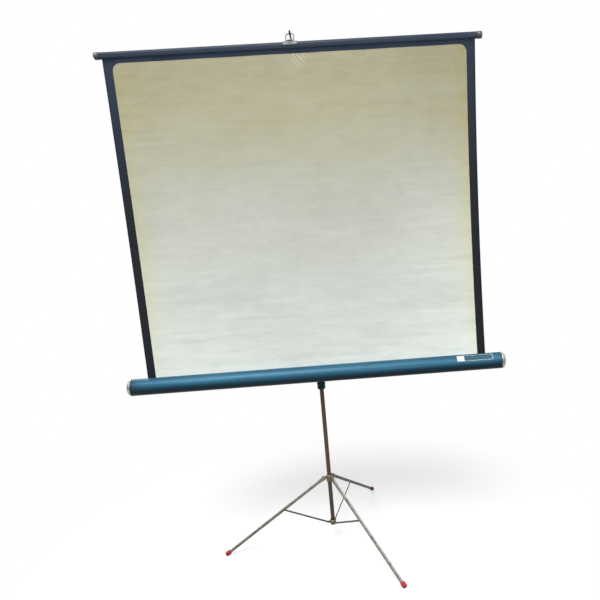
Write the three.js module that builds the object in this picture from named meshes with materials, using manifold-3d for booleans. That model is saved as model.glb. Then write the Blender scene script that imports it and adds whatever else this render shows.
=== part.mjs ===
import * as THREE from "three";
import { mergeVertices } from "three/addons/utils/BufferGeometryUtils.js";
import Module from "manifold-3d";

const wasm = await Module();
wasm.setup();

// Sizes are millimetres. The viewer stands on the -Y side, +X is to the viewer's right and +Z is up.
// The post stands on the Z axis while the pieces are made. The last lines move the whole to its origin.

// Fits
const gap = 0.3; // between two pieces that touch
const slack = 0.25; // round a pin in its hole
const roundSides = 24;
const largeSides = 48;

// Case, roller and slat
const caseHeight = 605; // height of the case's axis
const caseOffset = 58; // case's axis in front of the post's axis
const caseRadius = 26;
const caseWall = 1.2;
const caseTubeLength = 1155;
const capLength = 17;
const slotWidth = 6;
const rollerRadius = 9.5;
const rollerWall = 1.2;
const rollerMargin = 32.5; // from the case tube's end in to the roller's end
const wrapThickness = 0.4;
const spindleRadius = 3;
const slatHeight = 1574; // height of the slat's axis
const slatRadius = 9.5;
const slatWall = 1;
const slatOverhang = 15; // slat tube's end beyond the fabric's side edge
const slatCapLength = 5;
const slitWidth = 3;
const dowelRadius = 3.2;

// Screen surface
const fabricMargin = 44; // from the case tube's end in to the fabric's side edge
const fabricThickness = 0.3;
const fabricDip = 2; // fabric's lower edge above the case's axis
const waistLeft = 2; // how far each side edge bows in at mid height
const waistRight = 6;

// Post, rod and hook
const postRadius = 6.9;
const postWall = 1;
const postTop = 1150;
const postBottom = 60;
const rodRadius = 4;
const rodWall = 0.9;
const rodOverlap = 120; // rod's length inside the post
const rodAboveSlat = 8; // rod's top end above the slat's axis
const hookRadius = 2.8;
const hookRise = 34; // hook's level part above the slat's axis
const hookReach = 33; // hook's tip in front of the post's axis
const hookTop = 45.5; // hook's tip above the slat's axis
const hookBend = 8;
const screwDrop = 11; // lock screw below the post's top
const screwRadius = 2;
const clampLength = 22;
const sleeveAbove = 23; // bracket's sleeve above and below the case's axis
const sleeveBelow = 67;

// Tripod
const hubHeight = 67;
const hubRadius = 10;
const hubAbove = 7; // hub's cup above and below its pins
const hubBelow = 10.5;
const hubPinRadius = 17; // brace's lower end from the post's axis
const collarHeight = 227;
const collarRadius = 10;
const collarAbove = 9.5; // collar above and below its pins
const collarBelow = 13;
const collarPinRadius = 19; // leg's pin from the post's axis
const legAngle = THREE.MathUtils.degToRad(33); // below level
const legWidth = 6.2;
const legDepth = 9;
const legWall = 0.75;
const headRadius = 7;
const headLength = 26;
const webStart = 5.2;
const legPinRadius = 1.6;
const bracePinRadius = 1.2;
const bracePinAlong = 169.5; // from the leg's pin, along the leg
const bracePinInset = 1; // from the leg's middle towards its open side
const braceBreadth = 5.5;
const braceThickness = 1.2;
const tipRadius = 7.5;
const tipLength = 18;
const tipChamfer = 2.5;
const tipPocket = 12;
const tipFlat = 3; // depth of the flat worn on the tip's lower edge
const azimuths = { rear: 67, left: 187, right: 307 };

const axisX = new THREE.Vector3(1, 0, 0);
const axisY = new THREE.Vector3(0, 1, 0);
const axisZ = new THREE.Vector3(0, 0, 1);

// A geometry as a closed solid that can be added or cut.
function solid(geometry) {
  const bare = new THREE.BufferGeometry();
  bare.setAttribute("position", geometry.getAttribute("position").clone());
  if (geometry.index) bare.setIndex(geometry.index.clone());
  const merged = mergeVertices(bare, 1e-4);
  const corners = merged.index.array;
  const kept = [];
  for (let i = 0; i < corners.length; i += 3) {
    const [a, b, c] = [corners[i], corners[i + 1], corners[i + 2]];
    if (a !== b && b !== c && c !== a) kept.push(a, b, c);
  }
  return new wasm.Manifold(
    new wasm.Mesh({
      numProp: 3,
      vertProperties: merged.attributes.position.array,
      triVerts: new Uint32Array(kept),
    }),
  );
}

function geometryOf(made) {
  const mesh = made.getMesh();
  const geometry = new THREE.BufferGeometry();
  geometry.setAttribute("position", new THREE.BufferAttribute(new Float32Array(mesh.vertProperties), 3));
  geometry.setIndex(new THREE.BufferAttribute(new Uint32Array(mesh.triVerts), 1));
  return geometry;
}

function joined(...pieces) {
  return geometryOf(pieces.map(solid).reduce((whole, piece) => whole.add(piece)));
}

function cut(geometry, ...tools) {
  return geometryOf(tools.map(solid).reduce((whole, tool) => whole.subtract(tool), solid(geometry)));
}

// A round bar between two points.
function bar(radius, start, end, sides = roundSides) {
  const along = end.clone().sub(start);
  const geometry = new THREE.CylinderGeometry(radius, radius, along.length(), sides);
  const turn = new THREE.Quaternion().setFromUnitVectors(axisY, along.normalize());
  const middle = start.clone().add(end).multiplyScalar(0.5);
  return geometry.applyQuaternion(turn).translate(middle.x, middle.y, middle.z);
}

// A shape turned about Z, from pairs of radius and height.
function turned(profile, sides = roundSides) {
  const points = profile.map(([radius, height]) => new THREE.Vector2(radius, height));
  return new THREE.LatheGeometry(points, sides).rotateX(Math.PI / 2);
}

function ring(outer, inner, low, high, sides = roundSides) {
  return turned([[outer, low], [outer, high], [inner, high], [inner, low], [outer, low]], sides);
}

function block(low, high) {
  const size = high.clone().sub(low);
  const middle = low.clone().add(high).multiplyScalar(0.5);
  return new THREE.BoxGeometry(size.x, size.y, size.z).translate(middle.x, middle.y, middle.z);
}

// A flat shape given thickness, with its middle on the shape's plane.
function plate(shape, thickness, curveSegments = 12) {
  const geometry = new THREE.ExtrudeGeometry(shape, { depth: thickness, bevelEnabled: false, curveSegments });
  return geometry.translate(0, 0, -thickness / 2);
}

function wire(path, radius, steps, sides) {
  const section = new THREE.Shape();
  section.absarc(0, 0, radius, 0, Math.PI * 2);
  return new THREE.ExtrudeGeometry(section, { extrudePath: path, steps, curveSegments: sides });
}

// Turns a piece made about Z, or drawn in XY, to lie along X.
function alongX(geometry) {
  return geometry.applyMatrix4(new THREE.Matrix4().makeBasis(axisY, axisZ, axisX));
}

// Turns a piece drawn in XY to stand facing the viewer.
function facing(geometry) {
  return geometry.applyMatrix4(new THREE.Matrix4().makeBasis(axisX, axisZ, axisY.clone().negate()));
}

// Stands a piece drawn in XY, with X outwards and Y up, in the plane through the post at an azimuth.
function radially(geometry, degrees) {
  const angle = THREE.MathUtils.degToRad(degrees);
  const outwards = new THREE.Vector3(Math.cos(angle), Math.sin(angle), 0);
  const sideways = outwards.clone().cross(axisZ);
  return geometry.applyMatrix4(new THREE.Matrix4().makeBasis(outwards, axisZ, sideways));
}

// Lays a piece drawn along X from the leg's pin into the leg's slope.
function onLeg(geometry) {
  return geometry.rotateZ(-legAngle).translate(collarPinRadius, collarHeight, 0);
}

function at(x, y, z) {
  return new THREE.Vector3(x, y, z);
}

const paint = {
  blue: { color: 0x3c6e8c, roughness: 0.28, metalness: 0.3 },
  nickel: { color: 0xc8d2cf, roughness: 0.22, metalness: 1 },
  bronze: { color: 0x4d4134, roughness: 0.4, metalness: 0.7 },
  plated: { color: 0x969687, roughness: 0.35, metalness: 0.9 },
  olive: { color: 0x7d745c, roughness: 0.45, metalness: 0.8 },
  dark: { color: 0x2a2c30, roughness: 0.4, metalness: 0.7 },
  navy: { color: 0x2e3545, roughness: 0.35, metalness: 0.3 },
  steel: { color: 0x8d9090, roughness: 0.3, metalness: 1 },
  red: { color: 0xc8283c, roughness: 0.6, metalness: 0 },
  white: { color: 0xcfd2c6, roughness: 0.85, metalness: 0 },
  wood: { color: 0xa98a5c, roughness: 0.7, metalness: 0 },
};

const assembly = new THREE.Group();

function piece(name, geometry, look) {
  const mesh = new THREE.Mesh(geometryOf(solid(geometry)), new THREE.MeshStandardMaterial(look));
  mesh.name = name;
  assembly.add(mesh);
}

// Post: a tube with a rolled bead that the leg collar stands on.
const boreRadius = postRadius + gap;
const postBore = postRadius - postWall;
const screwHeight = postTop - screwDrop;
const collarBottom = collarHeight - collarBelow;
const collarTop = collarHeight + collarAbove;
const beadHeight = 4;
const beadTop = collarBottom - gap;
const beadRadius = postRadius + 1.3;
const postProfile = [
  [postRadius, postBottom],
  [postRadius, beadTop - beadHeight],
  [beadRadius, beadTop - beadHeight * 0.75],
  [beadRadius, beadTop - beadHeight * 0.25],
  [postRadius, beadTop],
  [postRadius, postTop],
  [postBore, postTop],
  [postBore, postBottom],
  [postRadius, postBottom],
];
const screwReach = 30;
const screwHole = bar(screwRadius + slack, at(0, 1, screwHeight), at(0, screwReach, screwHeight));
piece("post_tube", cut(turned(postProfile), screwHole), paint.bronze);

// Bush in the post's mouth that guides the rod.
const bushBore = rodRadius + gap;
const bushLip = 2.7;
const bushDepth = 19;
const bushProfile = [
  [postBore - gap, postTop - bushDepth],
  [postBore - gap, postTop + gap],
  [postRadius, postTop + gap],
  [postRadius, postTop + gap + bushLip],
  [bushBore, postTop + gap + bushLip],
  [bushBore, postTop - bushDepth],
  [postBore - gap, postTop - bushDepth],
];
piece("rod_bush", cut(turned(bushProfile), screwHole), paint.steel);

// Clamp round the post's top, with a boss for the lock screw.
const clampRadius = 10;
const clampBottom = postTop - clampLength;
const clampBossRadius = 5.5;
const clampBossEnd = 13;
const clampBody = joined(
  turned([[0, clampBottom], [clampRadius, clampBottom], [clampRadius, postTop - 1], [0, postTop - 1]]),
  bar(clampBossRadius, at(0, 0, screwHeight), at(0, clampBossEnd, screwHeight)),
);
const postHole = bar(boreRadius, at(0, 0, 0), at(0, 0, postTop + clampLength));
piece("clamp_collar", cut(clampBody, postHole, screwHole), paint.bronze);

// Lock screw with a lobed head. Its end stops just short of the rod.
const knobRadius = 9;
const knobLength = 10;
const knobStart = clampBossEnd + 1;
const knobEnd = knobStart + knobLength;
const knobEdge = 1.5;
const lobes = 6;
const lobeRadius = 3.2;
const knobProfile = [
  [0, rodRadius + slack],
  [screwRadius, rodRadius + slack],
  [screwRadius, knobStart],
  [knobRadius - knobEdge, knobStart],
  [knobRadius, knobStart + knobEdge],
  [knobRadius, knobEnd - knobEdge],
  [knobRadius - knobEdge, knobEnd],
  [0, knobEnd],
];
const lobeCuts = Array.from({ length: lobes }, (_, i) => {
  const angle = (i / lobes) * Math.PI * 2;
  const centre = at(Math.cos(angle), Math.sin(angle), 0).multiplyScalar(knobRadius + lobeRadius * 0.55);
  return bar(lobeRadius, centre.clone().setZ(knobStart - 1), centre.clone().setZ(knobEnd + 1), 12);
});
const knob = cut(turned(knobProfile), ...lobeCuts).rotateX(-Math.PI / 2).translate(0, 0, screwHeight);
piece("lock_knob", knob, paint.dark);

// Extension rod, its lower guide and its hook.
const rodTop = slatHeight + rodAboveSlat;
const rodBottom = postTop - rodOverlap;
const rodBore = rodRadius - rodWall;
piece("extension_rod", ring(rodRadius, rodBore, rodBottom, rodTop), paint.dark);

const guideRadius = postBore - gap;
const guideLength = 14;
const guideSpigot = 12;
const guideProfile = [
  [0, rodBottom - gap - guideLength],
  [guideRadius, rodBottom - gap - guideLength],
  [guideRadius, rodBottom - gap],
  [rodBore - gap, rodBottom - gap],
  [rodBore - gap, rodBottom + guideSpigot],
  [0, rodBottom + guideSpigot],
];
piece("rod_guide", turned(guideProfile), paint.steel);

const hookLevel = slatHeight + hookRise;
const hookShank = 22;
const hookPath = new THREE.CurvePath();
const hookCorners = [
  at(0, 0, rodTop - hookShank),
  at(0, 0, hookLevel - hookBend),
  at(0, 0, hookLevel),
  at(0, -hookBend, hookLevel),
  at(0, hookBend - hookReach, hookLevel),
  at(0, -hookReach, hookLevel),
  at(0, -hookReach, hookLevel + hookBend),
  at(0, -hookReach, slatHeight + hookTop),
];
hookPath.add(new THREE.LineCurve3(hookCorners[0], hookCorners[1]));
hookPath.add(new THREE.QuadraticBezierCurve3(hookCorners[1], hookCorners[2], hookCorners[3]));
hookPath.add(new THREE.LineCurve3(hookCorners[3], hookCorners[4]));
hookPath.add(new THREE.QuadraticBezierCurve3(hookCorners[4], hookCorners[5], hookCorners[6]));
hookPath.add(new THREE.LineCurve3(hookCorners[6], hookCorners[7]));
piece("rod_hook", wire(hookPath, hookRadius, 30, 5), paint.dark);

// Bracket: a sleeve on the post with a boss that the case turns on.
const sleeveRadius = 13;
const sleeveBottom = caseHeight - sleeveBelow;
const sleeveTop = caseHeight + sleeveAbove;
const sleeveEdge = 3;
const bossRadius = 15;
const saddleThin = 1.7; // saddle's thickness at its thinnest
const saddleBack = caseOffset - caseRadius - gap - saddleThin;
const studRadius = 5;
const studEnd = 12.4;
const sleeve = turned([
  [0, sleeveBottom],
  [sleeveRadius - sleeveEdge, sleeveBottom],
  [sleeveRadius, sleeveBottom + sleeveEdge],
  [sleeveRadius, sleeveTop - sleeveEdge],
  [sleeveRadius - sleeveEdge, sleeveTop],
  [0, sleeveTop],
]);
const boss = bar(bossRadius, at(0, 0, caseHeight), at(0, gap - saddleBack, caseHeight), 32);
const studHole = bar(studRadius + slack, at(0, gap - studEnd, caseHeight), at(0, -caseOffset, caseHeight));
piece("case_bracket", cut(joined(sleeve, boss), postHole, studHole), paint.blue);

// Saddle on the case's back with the stud that turns in the bracket.
const saddleLength = 60;
const saddleHalf = 16;
const seat = bar(
  caseRadius + gap,
  at(-saddleLength, -caseOffset, caseHeight),
  at(saddleLength, -caseOffset, caseHeight),
  largeSides,
);
const saddleBlock = block(
  at(-saddleLength / 2, -caseOffset + caseRadius * 0.6, caseHeight - saddleHalf),
  at(saddleLength / 2, -saddleBack, caseHeight + saddleHalf),
);
const stud = bar(studRadius, at(0, -saddleBack - 1, caseHeight), at(0, -studEnd, caseHeight));
piece("pivot_saddle", joined(cut(saddleBlock, seat), stud), paint.blue);

// Case: a tube with a slot along its top that the fabric comes out of.
const fabricY = rollerRadius + gap + wrapThickness + gap + fabricThickness / 2; // behind the case's axis
const caseTube = alongX(
  ring(caseRadius, caseRadius - caseWall, -caseTubeLength / 2, caseTubeLength / 2, largeSides),
);
const slot = block(
  at(-caseTubeLength, fabricY - slotWidth / 2, caseRadius * 0.5),
  at(caseTubeLength, fabricY + slotWidth / 2, caseRadius * 1.5),
);

function onCase(geometry) {
  return geometry.translate(0, -caseOffset, caseHeight);
}

piece("case_tube", onCase(cut(caseTube, slot)), paint.blue);

// Domed end caps, each with a spigot in the tube and a bearing for the roller.
const spigotLength = 10;
const spigotWall = 2.4;
const spigotRadius = caseRadius - caseWall - gap;
const bearingRadius = 7;
const bearingFloor = 4;
const bearingMouth = -9;
const capFloor = 6;
const capRim = 4;
const domeSteps = 6;
const dome = Array.from({ length: domeSteps + 1 }, (_, i) => {
  const angle = (i / domeSteps) * (Math.PI / 2);
  return [caseRadius * Math.cos(angle), capRim + (capLength - gap - capRim) * Math.sin(angle)];
});
dome[domeSteps][0] = 0;
const capProfile = [
  [0, bearingFloor],
  [spindleRadius + slack, bearingFloor],
  [spindleRadius + slack, bearingMouth],
  [bearingRadius, bearingMouth],
  [bearingRadius, capFloor],
  [spigotRadius - spigotWall, capFloor],
  [spigotRadius - spigotWall, -spigotLength],
  [spigotRadius, -spigotLength],
  [spigotRadius, 0],
  [caseRadius, 0],
  ...dome,
];
const capFace = caseTubeLength / 2 + gap;
const rightCap = alongX(turned(capProfile, 28)).translate(capFace, 0, 0);
const leftCap = alongX(turned(capProfile, 28)).rotateZ(Math.PI).translate(-capFace, 0, 0);
piece("case_cap_right", onCase(rightCap), paint.nickel);
piece("case_cap_left", onCase(leftCap), paint.nickel);

// Plain plate on the case's front.
const labelLength = 113;
const labelMargin = 28; // from the plate's end to the case tube's end
const labelMiddle = (caseTubeLength - labelLength) / 2 - labelMargin;
const labelThickness = 0.5;
const labelFrom = THREE.MathUtils.degToRad(109);
const labelTo = THREE.MathUtils.degToRad(156);

function arched(inner, outer, from, to) {
  const shape = new THREE.Shape();
  shape.absarc(0, 0, outer, from, to, false);
  shape.absarc(0, 0, inner, to, from, true);
  return shape;
}

const labelInner = caseRadius + gap / 2;
const labelShape = arched(labelInner, labelInner + labelThickness, labelFrom, labelTo);
const label = alongX(plate(labelShape, labelLength)).translate(labelMiddle, 0, 0);
piece("label_plate", onCase(label), paint.steel);

// Roller, its end plugs and the spring on its fixed arbor.
const rollerBore = rollerRadius - rollerWall;
const rollerEnd = caseTubeLength / 2 - rollerMargin;
const plugFlange = 4;
const plugDepth = 15;
const spindleEnd = capFace + bearingFloor - 1;
piece("roller_tube", onCase(alongX(ring(rollerRadius, rollerBore, -rollerEnd, rollerEnd, 36))), paint.wood);

const idlePlug = turned([
  [0, rollerEnd - plugDepth],
  [rollerBore - gap, rollerEnd - plugDepth],
  [rollerBore - gap, rollerEnd + gap],
  [rollerRadius, rollerEnd + gap],
  [rollerRadius, rollerEnd + gap + plugFlange],
  [spindleRadius, rollerEnd + gap + plugFlange],
  [spindleRadius, spindleEnd],
  [0, spindleEnd],
]);
piece("roller_plug_right", onCase(alongX(idlePlug)), paint.steel);

const plugBore = spindleRadius + slack;
const springPlug = turned([
  [plugBore, plugDepth - rollerEnd],
  [plugBore, -rollerEnd - gap - plugFlange],
  [rollerRadius, -rollerEnd - gap - plugFlange],
  [rollerRadius, -rollerEnd - gap],
  [rollerBore - gap, -rollerEnd - gap],
  [rollerBore - gap, plugDepth - rollerEnd],
  [plugBore, plugDepth - rollerEnd],
]);
piece("roller_plug_left", onCase(alongX(springPlug)), paint.steel);

const arborReach = 345; // arbor's inner end from the roller's left end
const arborEnd = arborReach - rollerEnd;
const arborBushLength = 12;
const arbor = bar(spindleRadius, at(-spindleEnd, 0, 0), at(arborEnd, 0, 0));
piece("spring_arbor", onCase(arbor), paint.steel);
const arborBush = ring(rollerBore - gap, plugBore, arborEnd - arborBushLength - 2, arborEnd - 2);
piece("arbor_bush", onCase(alongX(arborBush)), paint.steel);

class Helix extends THREE.Curve {
  constructor(radius, from, to, turns) {
    super();
    Object.assign(this, { radius, from, to, turns });
  }

  getPoint(share, target = new THREE.Vector3()) {
    const angle = share * this.turns * Math.PI * 2;
    const along = this.from + (this.to - this.from) * share;
    return target.set(along, this.radius * Math.cos(angle), this.radius * Math.sin(angle));
  }
}

const springWire = 0.8;
const springTurns = 11;
const springRadius = spindleRadius + gap + springWire;
const springEnd = 10;
const springStart = plugDepth - rollerEnd + springEnd;
const springStop = arborEnd - arborBushLength - springEnd;
const coil = new Helix(springRadius, springStart, springStop, springTurns);
piece("roller_spring", onCase(wire(coil, springWire, springTurns * 9, 3)), paint.dark);

// Fabric: what is left round the roller, and the stretched sheet with its slightly bowed sides.
const fabricWidth = caseTubeLength - 2 * fabricMargin;
const wrapInner = rollerRadius + gap;
const wrapRing = ring(wrapInner + wrapThickness, wrapInner, -fabricWidth / 2, fabricWidth / 2, largeSides);
piece("fabric_wrap", onCase(alongX(wrapRing)), paint.white);

const fabricLow = caseHeight + fabricDip;
const fabricHigh = slatHeight - dowelRadius - gap;
const fabricMiddle = (fabricLow + fabricHigh) / 2;
const sheet = new THREE.Shape();
sheet.moveTo(-fabricWidth / 2, fabricLow);
sheet.lineTo(fabricWidth / 2, fabricLow);
sheet.quadraticCurveTo(fabricWidth / 2 - 2 * waistRight, fabricMiddle, fabricWidth / 2, fabricHigh);
sheet.lineTo(-fabricWidth / 2, fabricHigh);
sheet.quadraticCurveTo(2 * waistLeft - fabricWidth / 2, fabricMiddle, -fabricWidth / 2, fabricLow);
const screenY = fabricY - caseOffset;
piece("screen_fabric", facing(plate(sheet, fabricThickness)).translate(0, screenY, 0), paint.white);

// Slat: a tube slit along its underside for the fabric, which is held on a dowel inside.
function onSlat(geometry) {
  return geometry.translate(0, screenY, slatHeight);
}

const slatBore = slatRadius - slatWall;
const slatTubeLength = fabricWidth + 2 * slatOverhang;
const slatTube = alongX(ring(slatRadius, slatBore, -slatTubeLength / 2, slatTubeLength / 2, 36));
const slit = block(
  at(-slatTubeLength, -slitWidth / 2, -slatRadius * 1.5),
  at(slatTubeLength, slitWidth / 2, -slatRadius * 0.5),
);
piece("slat_tube", onSlat(cut(slatTube, slit)), paint.navy);
const dowelEnd = fabricWidth / 2;
piece("hem_dowel", onSlat(bar(dowelRadius, at(-dowelEnd, 0, 0), at(dowelEnd, 0, 0))), paint.wood);

const slatSpigot = 10;
const slatEdge = 1;
const slatCapProfile = [
  [0, -slatSpigot],
  [slatBore - gap, -slatSpigot],
  [slatBore - gap, 0],
  [slatRadius, 0],
  [slatRadius, slatCapLength - slatEdge],
  [slatRadius - slatEdge, slatCapLength],
  [0, slatCapLength],
];
const slatCapFace = slatTubeLength / 2 + gap;
const slatCapRight = alongX(turned(slatCapProfile)).translate(slatCapFace, 0, 0);
const slatCapLeft = alongX(turned(slatCapProfile)).rotateZ(Math.PI).translate(-slatCapFace, 0, 0);
piece("slat_cap_right", onSlat(slatCapRight), paint.plated);
piece("slat_cap_left", onSlat(slatCapLeft), paint.plated);

// Saddle on the slat with a barrel for the bail, and the wire bail that hangs on the hook.
const bailWire = 1.1;
const bailSaddleLength = 40;
const bailSaddleThick = 1.5;
const bailSaddleInner = slatRadius + gap;
const bailSaddleOuter = bailSaddleInner + bailSaddleThick;
const saddleFrom = THREE.MathUtils.degToRad(-8);
const barrelRadius = 2.7;
const barrelHalf = 5.5;
const barrelHeight = bailSaddleOuter + barrelRadius - 0.4;
const strapShape = arched(bailSaddleInner, bailSaddleOuter, saddleFrom, Math.PI - saddleFrom);
const strap = alongX(plate(strapShape, bailSaddleLength));
const barrelEnd = at(barrelHalf, 0, barrelHeight);
const barrelStart = at(-barrelHalf, 0, barrelHeight);
const barrel = bar(barrelRadius, barrelStart, barrelEnd);
const wireStart = at(-barrelHalf * 2, 0, barrelHeight);
const wireEnd = at(barrelHalf * 2, 0, barrelHeight);
const barrelHole = bar(bailWire + gap, wireStart, wireEnd, 16);
piece("bail_saddle", onSlat(cut(joined(strap, barrel), barrelHole)), paint.nickel);

const bailHalf = 11.5;
const bailCorner = 3;
const bailTop = at(0, -hookReach + hookRadius + gap + bailWire + 2, hookLevel + hookRadius + bailWire + gap);
const bailFoot = at(0, screenY, slatHeight + barrelHeight);
const bailLean = bailTop.clone().sub(bailFoot);
const bailLength = bailLean.length();
const bailSteps = 10;

function quarter(centreX, centreY, radius, from) {
  return Array.from({ length: bailSteps + 1 }, (_, i) => {
    const angle = from + (i / bailSteps) * (Math.PI / 2);
    return [centreX + radius * Math.cos(angle), centreY + radius * Math.sin(angle)];
  });
}

const bailOutline = [
  [-bailHalf * 0.3, 0],
  [0, 0],
  [bailHalf * 0.3, 0],
  ...quarter(bailHalf - bailCorner, bailCorner, bailCorner, -Math.PI / 2),
  ...quarter(0, bailLength - bailHalf, bailHalf, 0),
  ...quarter(0, bailLength - bailHalf, bailHalf, Math.PI / 2).slice(1),
  ...quarter(bailCorner - bailHalf, bailCorner, bailCorner, Math.PI),
];
const bailUp = bailLean.clone().normalize();
const bailPath = new THREE.CatmullRomCurve3(
  bailOutline.map(([across, up]) => at(across, 0, 0).addScaledVector(bailUp, up).add(bailFoot)),
  true,
);
piece("bail_wire", new THREE.TubeGeometry(bailPath, 52, bailWire, 6, true), paint.steel);

// Hub at the post's foot: a cup with three slots, open below, that the braces' ends sit in.
const cheekThickness = 0.9;
const cheekRadius = 3.2;
const cheekGap = 0.3;
const cheekHeadRadius = 1.8;
const cheekHead = 0.25;
const hubBottom = hubHeight - hubBelow;
const hubTop = hubHeight + hubAbove;
const hubEdge = 4;
const cup = turned([
  [0, hubBottom],
  [hubRadius - hubEdge, hubBottom],
  [hubRadius - hubEdge * 0.3, hubBottom + hubEdge * 0.3],
  [hubRadius, hubBottom + hubEdge],
  [hubRadius, hubTop - 1],
  [hubRadius - 1, hubTop],
  [0, hubTop],
]);

// An eye round a point, with a tail back to the post that may be taller there.
function lug(radius, pinRadius, height, start, rise = 0) {
  const shape = new THREE.Shape();
  shape.moveTo(start, height - radius);
  shape.lineTo(pinRadius, height - radius);
  shape.absarc(pinRadius, height, radius, -Math.PI / 2, Math.PI / 2, false);
  shape.lineTo(start, height + radius + rise);
  return shape;
}

const cheekShape = lug(cheekRadius, hubPinRadius, hubHeight, hubRadius * 0.7);
const cheeks = Object.values(azimuths).flatMap((azimuth) =>
  [-1, 1].flatMap((side) => {
    const middle = side * (braceThickness / 2 + cheekGap + cheekThickness / 2);
    const face = side * (braceThickness / 2 + cheekGap + cheekThickness);
    const head = bar(
      cheekHeadRadius,
      at(hubPinRadius, hubHeight, face - side * cheekThickness * 0.5),
      at(hubPinRadius, hubHeight, face + side * cheekHead),
      12,
    );
    return [
      radially(plate(cheekShape, cheekThickness, 8).translate(0, 0, middle), azimuth),
      radially(head, azimuth),
    ];
  }),
);
const socket = bar(boreRadius, at(0, 0, postBottom - gap), at(0, 0, hubTop + hubEdge));
piece("lower_hub", cut(joined(cup, ...cheeks), socket), paint.olive);

// Collar that slides on the post, with a lug for each leg.
const lugRadius = 3.8;
const lugRise = 5.5; // how far the lug's upper edge climbs towards the post
const legInside = legWidth - 2 * legWall;
const collarEdge = 1.5;
const collarBody = turned([
  [0, collarBottom],
  [collarRadius - collarEdge, collarBottom],
  [collarRadius, collarBottom + collarEdge],
  [collarRadius, collarTop - collarEdge],
  [collarRadius - collarEdge, collarTop],
  [0, collarTop],
]);
const lugShape = lug(lugRadius, collarPinRadius, collarHeight, collarRadius * 0.7, lugRise);
const lugThickness = legInside - 2 * gap;
const lugs = Object.values(azimuths).map((azimuth) => radially(plate(lugShape, lugThickness, 8), azimuth));
const legPinHoles = Object.values(azimuths).map((azimuth) => {
  const start = at(collarPinRadius, collarHeight, -legWidth);
  return radially(bar(legPinRadius + slack, start, start.clone().setZ(legWidth), 16), azimuth);
});
piece("leg_collar", cut(joined(collarBody, ...lugs), postHole, ...legPinHoles), paint.olive);

// A headed pin across a leg, drawn about Z.
function rivet(radius) {
  const half = legWidth / 2 + gap;
  const head = radius * 1.7;
  const thick = radius * 0.5;
  return turned(
    [[0, -half - thick], [head, -half - thick], [head, -half], [radius, -half], [radius, half], [head, half],
      [head, half + thick], [0, half + thick]],
    12,
  );
}

// Leg: a channel, open on its inner side, with two rounded cheeks round the collar's lug.
const tipEnd = (collarHeight + tipFlat - tipRadius * Math.cos(legAngle)) / Math.sin(legAngle);
const legLength = tipEnd - (tipLength - tipPocket) - gap;
const legShape = new THREE.Shape();
legShape.moveTo(0, headRadius);
legShape.absarc(0, 0, headRadius, Math.PI / 2, (Math.PI * 3) / 2, false);
legShape.lineTo(headLength, -legDepth / 2);
legShape.lineTo(legLength, -legDepth / 2);
legShape.lineTo(legLength, legDepth / 2);
legShape.lineTo(headLength, legDepth / 2);
const hollowShape = new THREE.Shape();
const beyond = headRadius + 1;
hollowShape.moveTo(-beyond, -beyond);
hollowShape.lineTo(legLength + 1, -beyond);
hollowShape.lineTo(legLength + 1, legDepth / 2 - legWall);
hollowShape.lineTo(webStart, legDepth / 2 - legWall);
hollowShape.lineTo(webStart, beyond);
hollowShape.lineTo(-beyond, beyond);

function acrossLeg(along, up, radius) {
  return bar(radius + slack, at(along, up, -legWidth), at(along, up, legWidth), 16);
}

const leg = cut(
  plate(legShape, legWidth, 8),
  plate(hollowShape, legInside),
  acrossLeg(0, 0, legPinRadius),
  acrossLeg(bracePinAlong, -bracePinInset, bracePinRadius),
);

// Rubber tip: a turned plug with a pocket for the leg's end and a flat that rests on the floor.
const tipProfile = [
  [0, 0],
  [tipRadius - tipChamfer * 0.35, 0],
  [tipRadius, tipChamfer],
  [tipRadius, tipLength - tipChamfer],
  [tipRadius - tipChamfer, tipLength],
  [0, tipLength],
];
const pocket = block(
  at(-1, -legDepth / 2 - gap, -legWidth / 2 - gap),
  at(tipPocket, legDepth / 2 + gap, legWidth / 2 + gap),
);
const plug = turned(tipProfile, 28).rotateY(Math.PI / 2);
const tip = onLeg(cut(plug, pocket).translate(tipEnd - tipLength, 0, 0));
const floorReach = 500;
const underfloor = block(at(-floorReach, -floorReach, -floorReach), at(floorReach, 0, floorReach));

// Brace: a flat strip from the leg to the hub.
const bracePin = at(bracePinAlong, -bracePinInset, 0).applyAxisAngle(axisZ, -legAngle);
bracePin.add(at(collarPinRadius, collarHeight, 0));
const braceRun = at(hubPinRadius, hubHeight, 0).sub(bracePin);
const braceLength = braceRun.length();
const braceShape = new THREE.Shape();
braceShape.absarc(0, 0, braceBreadth / 2, Math.PI / 2, (Math.PI * 3) / 2, false);
braceShape.absarc(braceLength, 0, braceBreadth / 2, -Math.PI / 2, Math.PI / 2, false);
const braceHole = bar(bracePinRadius + slack, at(0, 0, -braceThickness), at(0, 0, braceThickness), 16);
const brace = cut(plate(braceShape, braceThickness, 8), braceHole);
brace.rotateZ(Math.atan2(braceRun.y, braceRun.x)).translate(bracePin.x, bracePin.y, 0);

for (const [side, azimuth] of Object.entries(azimuths)) {
  const legPin = rivet(legPinRadius).translate(collarPinRadius, collarHeight, 0);
  const braceRivet = onLeg(rivet(bracePinRadius).translate(bracePinAlong, -bracePinInset, 0));
  piece("leg_" + side, radially(onLeg(leg.clone()), azimuth), paint.plated);
  piece("leg_pin_" + side, radially(legPin, azimuth), paint.olive);
  piece("foot_tip_" + side, radially(cut(tip, underfloor), azimuth), paint.red);
  piece("brace_" + side, radially(brace.clone(), azimuth), paint.dark);
  piece("brace_pin_" + side, radially(braceRivet, azimuth), paint.olive);
}

// The origin is the middle of the whole's footprint, on the floor.
const extent = new THREE.Box3().setFromObject(assembly);
const middle = extent.getCenter(new THREE.Vector3());
assembly.position.set(-middle.x, -middle.y, -extent.min.z);

const root = new THREE.Group();
root.add(assembly);
export default root;
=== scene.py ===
import math

import bmesh
import bpy
from mathutils import Matrix, Vector, noise


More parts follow.
